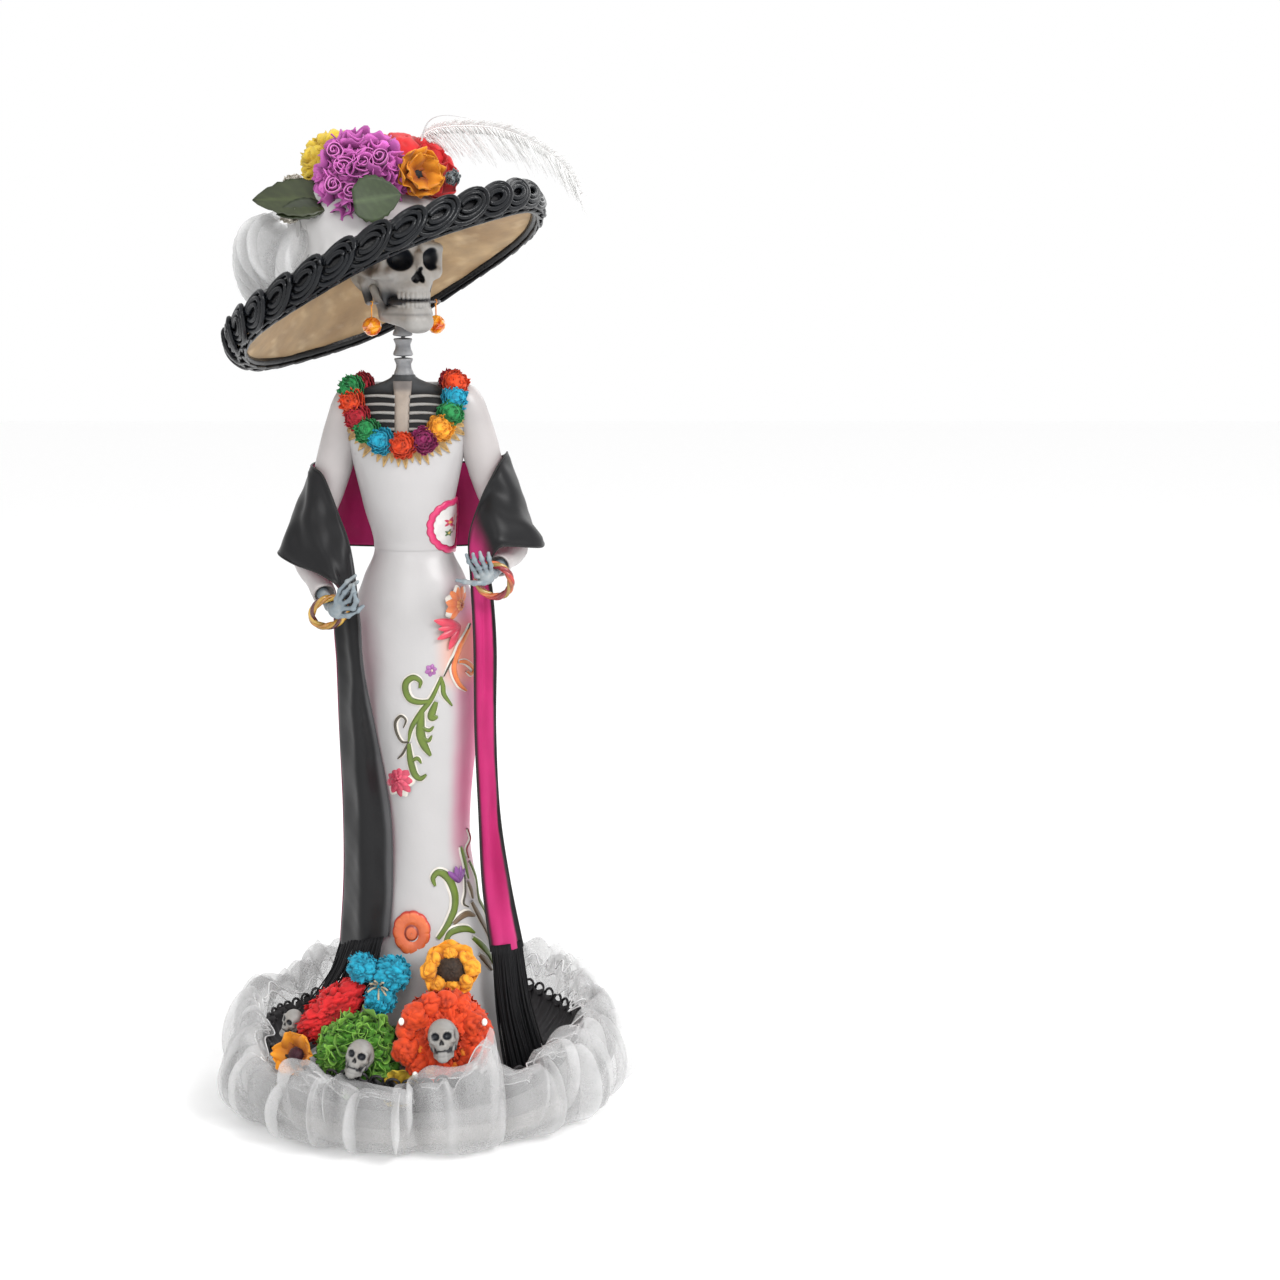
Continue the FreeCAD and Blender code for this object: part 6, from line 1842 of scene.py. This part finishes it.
def stroke(bag, places, half, tints, lift):
    """Raised band on the dress along (angle, height) places, domed across."""
    path = spline(places, 12 * len(places))
    t = np.linspace(0, 1, len(path))
    width = half * np.sin(np.clip(t * 0.86 + 0.10, 0, 1) * math.pi) ** 0.55
    spot = dress_point(path[:, 0], path[:, 1])
    along = unit(np.gradient(spot, axis=0))
    outward = unit(spot - np.stack([DRESS_X(path[:, 1]), 0 * t, path[:, 1]], -1))
    side = unit(np.cross(along, outward))
    u = np.linspace(-1, 1, 9)
    dome = lift * np.sqrt(np.clip(1 - u ** 2, 0, 1)) + 0.05
    dome[[0, -1]] = -0.6
    grid = spot[:, None] + side[:, None] * u[None, :, None] * width[:, None, None]
    grid = grid + outward[:, None] * dome[None, :, None]
    # painted highlight on the crest of the band, painted shade towards its edges
    shade = np.clip(u ** 2 * 1.1, 0, 1)
    bag.grid(grid, np.broadcast_to(mix(tints[0], tints[1], shade), grid.shape))


def dress_petal(bag, angle, z, length, width, turn, tints, lift=1.0):
    """Domed petal on the dress that starts at (angle, z) and points `turn` degrees from straight left."""
    start = dress_point(angle, z)
    outward = unit(start - np.array([DRESS_X(z), 0, z]))
    across = unit(np.cross(np.array([0, 0, 1.0]), outward))
    up = np.cross(outward, across)
    v, u = patch_grid(9, 9)
    half = width * np.sin(np.clip(v * 0.9 + 0.08, 0, 1) * math.pi) ** 0.7
    a = math.radians(turn)
    x = v * length * math.cos(a) - u * half * math.sin(a)
    y = v * length * math.sin(a) + u * half * math.cos(a)
    dome = lift * (1 - u ** 2) * np.sin(np.clip(v + 0.08, 0, 1) * math.pi) ** 0.5 - 0.3
    curve = -(x ** 2) / (2 * 42.0)
    grid = start + x[..., None] * across + y[..., None] * up + (dome + curve)[..., None] * outward
    # painted shade: darker at the petal's root and sides, lit towards its tip
    bag.grid(grid, mix(tints[1], tints[0], np.clip(v * 1.2 - 0.2 * np.abs(u), 0, 1)))


def ornament():
    """Scrolls, leaves and flowers up the front left of the skirt, each with a cream border."""
    cream, colour = Bag(), Bag()
    for tone, half, places in STROKES.values():
        stroke(cream, places, 1.25 * half + 0.9, STROKE_TINTS["cream"], 0.55)
        stroke(colour, places, 1.25 * half, STROKE_TINTS[tone], 1.5)

    # upper rosette with its lily, the small purple flower, the tulip and the rose
    orange = ((0.74, 0.22, 0.07), (0.50, 0.06, 0.03))
    for k in range(11):
        dress_petal(colour, 39, 394, 14.5, 4.6, k * 360 / 11, orange, 1.6)
    for k in range(8):
        dress_petal(colour, 39, 394, 6.0, 2.6, k * 45 + 10, ((0.80, 0.34, 0.12), (0.30, 0.03, 0.02)), 3.0)
    lily = ((0.66, 0.045, 0.085), (0.30, 0.01, 0.04))
    for length, width, turn in ((24, 3.6, 163), (20, 3.0, 180), (22, 3.2, 200), (20, 3.8, 235)):
        dress_petal(colour, 43, 378, length, width, turn, lily, 1.8)
    for k in range(6):
        dress_petal(colour, 74, 346, 5.2, 2.1, k * 60 + 15, ((0.36, 0.13, 0.36), (0.22, 0.05, 0.20)), 1.2)
    dress_petal(colour, 75, 346, 2.2, 1.6, 0, ((0.66, 0.6, 0.5), (0.6, 0.5, 0.4)), 2.2)
    for length, width, turn in ((15, 2.5, 135), (14, 2.8, 105), (13, 2.6, 80), (12, 2.0, 55)):
        dress_petal(colour, 44, 177, length, width, turn, ((0.24, 0.07, 0.30), (0.12, 0.03, 0.15)), 1.8)
    rng = np.random.default_rng(2)
    for ring, count, length in ((0, 9, 13.5), (1, 8, 10.0), (2, 6, 6.5), (3, 4, 3.5)):
        for k in range(count):
            tone = rng.uniform(0.8, 1.2)
            rose = (np.array((0.64, 0.07, 0.13)) * tone, (0.26, 0.008, 0.03))
            dress_petal(colour, 118 - ring * 0.6, 260, length, 4.4 - ring * 0.7, k * 360 / count + ring * 23,
                        rose, 1.4 + ring * 0.9)
    for k in range(7):
        dress_petal(cream, 39, 394, 15.8, 5.6, k * 360 / 7, STROKE_TINTS["cream"], 0.8)
    for k in range(6):
        dress_petal(cream, 118, 260, 14.6, 5.4, k * 60, STROKE_TINTS["cream"], 0.7)
    paint = surface("ornament_paint", rough=0.38, mottle=0.2, mottle_scale=150, grain=1200, coat=0.25,
                    lumps=0.0002, lump_scale=500)
    cream.piece("ornament_borders", paint, "figure", slot="white_paint")
    colour.piece("ornament_vines", paint, "figure", slot="green_paper")


def medallion():
    """Scalloped rim and a white disc with a small painted spray of flowers."""
    x0, z0, outer = 31.0, 452.0, 20.5
    paint = surface("medallion_paint", rough=0.35, mottle=0.12, mottle_scale=160, coat=0.4)
    angle = round_angles(200)

    def patch(radius, out):
        """Circle of places on the dress round the medallion's middle, bent back past the dress's side."""
        x, z = x0 + radius * np.cos(angle), z0 + radius * np.sin(angle)
        angle_on_dress = np.degrees(np.arccos(np.clip((x - DRESS_X(z)) / DRESS_WIDTH(z), -1.0, 1.0)))
        over = np.clip(x - (DRESS_X(z) + DRESS_WIDTH(z)), 0, None)
        place = dress_point(angle_on_dress, z, out)
        place[:, 0] += 0.1 * np.minimum(over, 3)
        place[:, 1] += 1.6 * over
        return place

    rim = Bag()
    scallop = 1 + 0.045 * np.abs(np.sin(angle * 9))
    rows = [patch(outer * scallop * share, out) for share, out in
            ((1.0, -0.6), (1.0, 1.1), (0.96, 1.9), (0.88, 2.2), (0.80, 1.9), (0.765, 1.5), (0.76, 0.5))]
    # painted highlight on the crest of the raised rim, painted shade down its sides
    tints = np.array([(0.26, 0.008, 0.05), (0.42, 0.012, 0.08), (0.60, 0.025, 0.13), (0.66, 0.04, 0.16),
                      (0.55, 0.02, 0.11), (0.30, 0.008, 0.05), (0.20, 0.005, 0.03)])
    rim.grid(np.stack(rows), np.repeat(tints, 200, axis=0), around=True)
    rim.piece("medallion_scalloped_rim", paint, "figure", replaces=["medallion_rim"], slot="magenta_paint")
    disc = Bag()
    shares = np.linspace(0.02, 0.80, 22)
    grid = np.stack([patch(outer * share, 1.2) for share in shares])
    local_x = shares[:, None] * outer * np.cos(angle)
    local_z = shares[:, None] * outer * np.sin(angle)
    tint = np.broadcast_to((0.70, 0.69, 0.67), grid.shape).copy()
    for cx, cz, r, colour in ((-5, 3, 4.0, (0.55, 0.03, 0.10)), (2.5, 5, 3.2, (0.70, 0.30, 0.05)),
                              (0, -2, 3.6, (0.30, 0.05, 0.25)), (-6, -5, 3.0, (0.05, 0.13, 0.03)),
                              (5, -3, 3.0, (0.05, 0.13, 0.03))):
        bearing = np.arctan2(local_z - cz, local_x - cx)
        reach = np.hypot(local_x - cx, local_z - cz)
        flower = reach < r * (0.72 + 0.28 * np.cos(5 * bearing))
        tint[flower] = colour
        tint[reach < r * 0.25] = (0.75, 0.50, 0.10)
    disc.grid(grid, tint, around=True)
    disc.piece("medallion_white_disc", paint, "figure", replaces=["medallion_disc"], slot="white_paint")


def cad_finishes():
    """Finishes of the CAD pieces that are shown as they are."""
    finish = {
        "base_board": surface("board_paint", (0.62, 0.60, 0.58), rough=0.6, mottle=0.2, grain=600),
        "base_screw": surface("screw_steel", (0.45, 0.45, 0.46), rough=0.3, mottle=0.1, grain=1500),
        "core_post": surface("post_wood", (0.42, 0.27, 0.14), rough=0.7, mottle=0.25, grain=700,
                             stretch=(1, 1, 0.1)),
        "neck_wire": surface("wire_steel", (0.20, 0.20, 0.21), rough=0.4, mottle=0.15, grain=1500),
        "hat_socket": surface("socket_mache", (0.42, 0.33, 0.22), rough=0.8, mottle=0.25, grain=800),
    }
    finish["hat_peg"] = finish["core_post"]
    finish["arm_wires"] = finish["neck_wire"]
    finish["ear_pins"] = finish["neck_wire"]
    for node, material in finish.items():
        mesh = frame["nodes"][node].data
        mesh.materials.clear()
        mesh.materials.append(material)


white_cloth = dress()
chest()
vertebrae()
sleeves(white_cloth)
shawl()
hat_shell()
hat_trim()
bone_paint = skull()
mini_skulls(bone_paint)
hands()
bangles()
earrings()
base_flowers()
rosette()
garland()
hat_flowers()
hat_greenery()
feather()
tulle()
hat_net()
hem_lace()
ornament()
medallion()
cad_finishes()
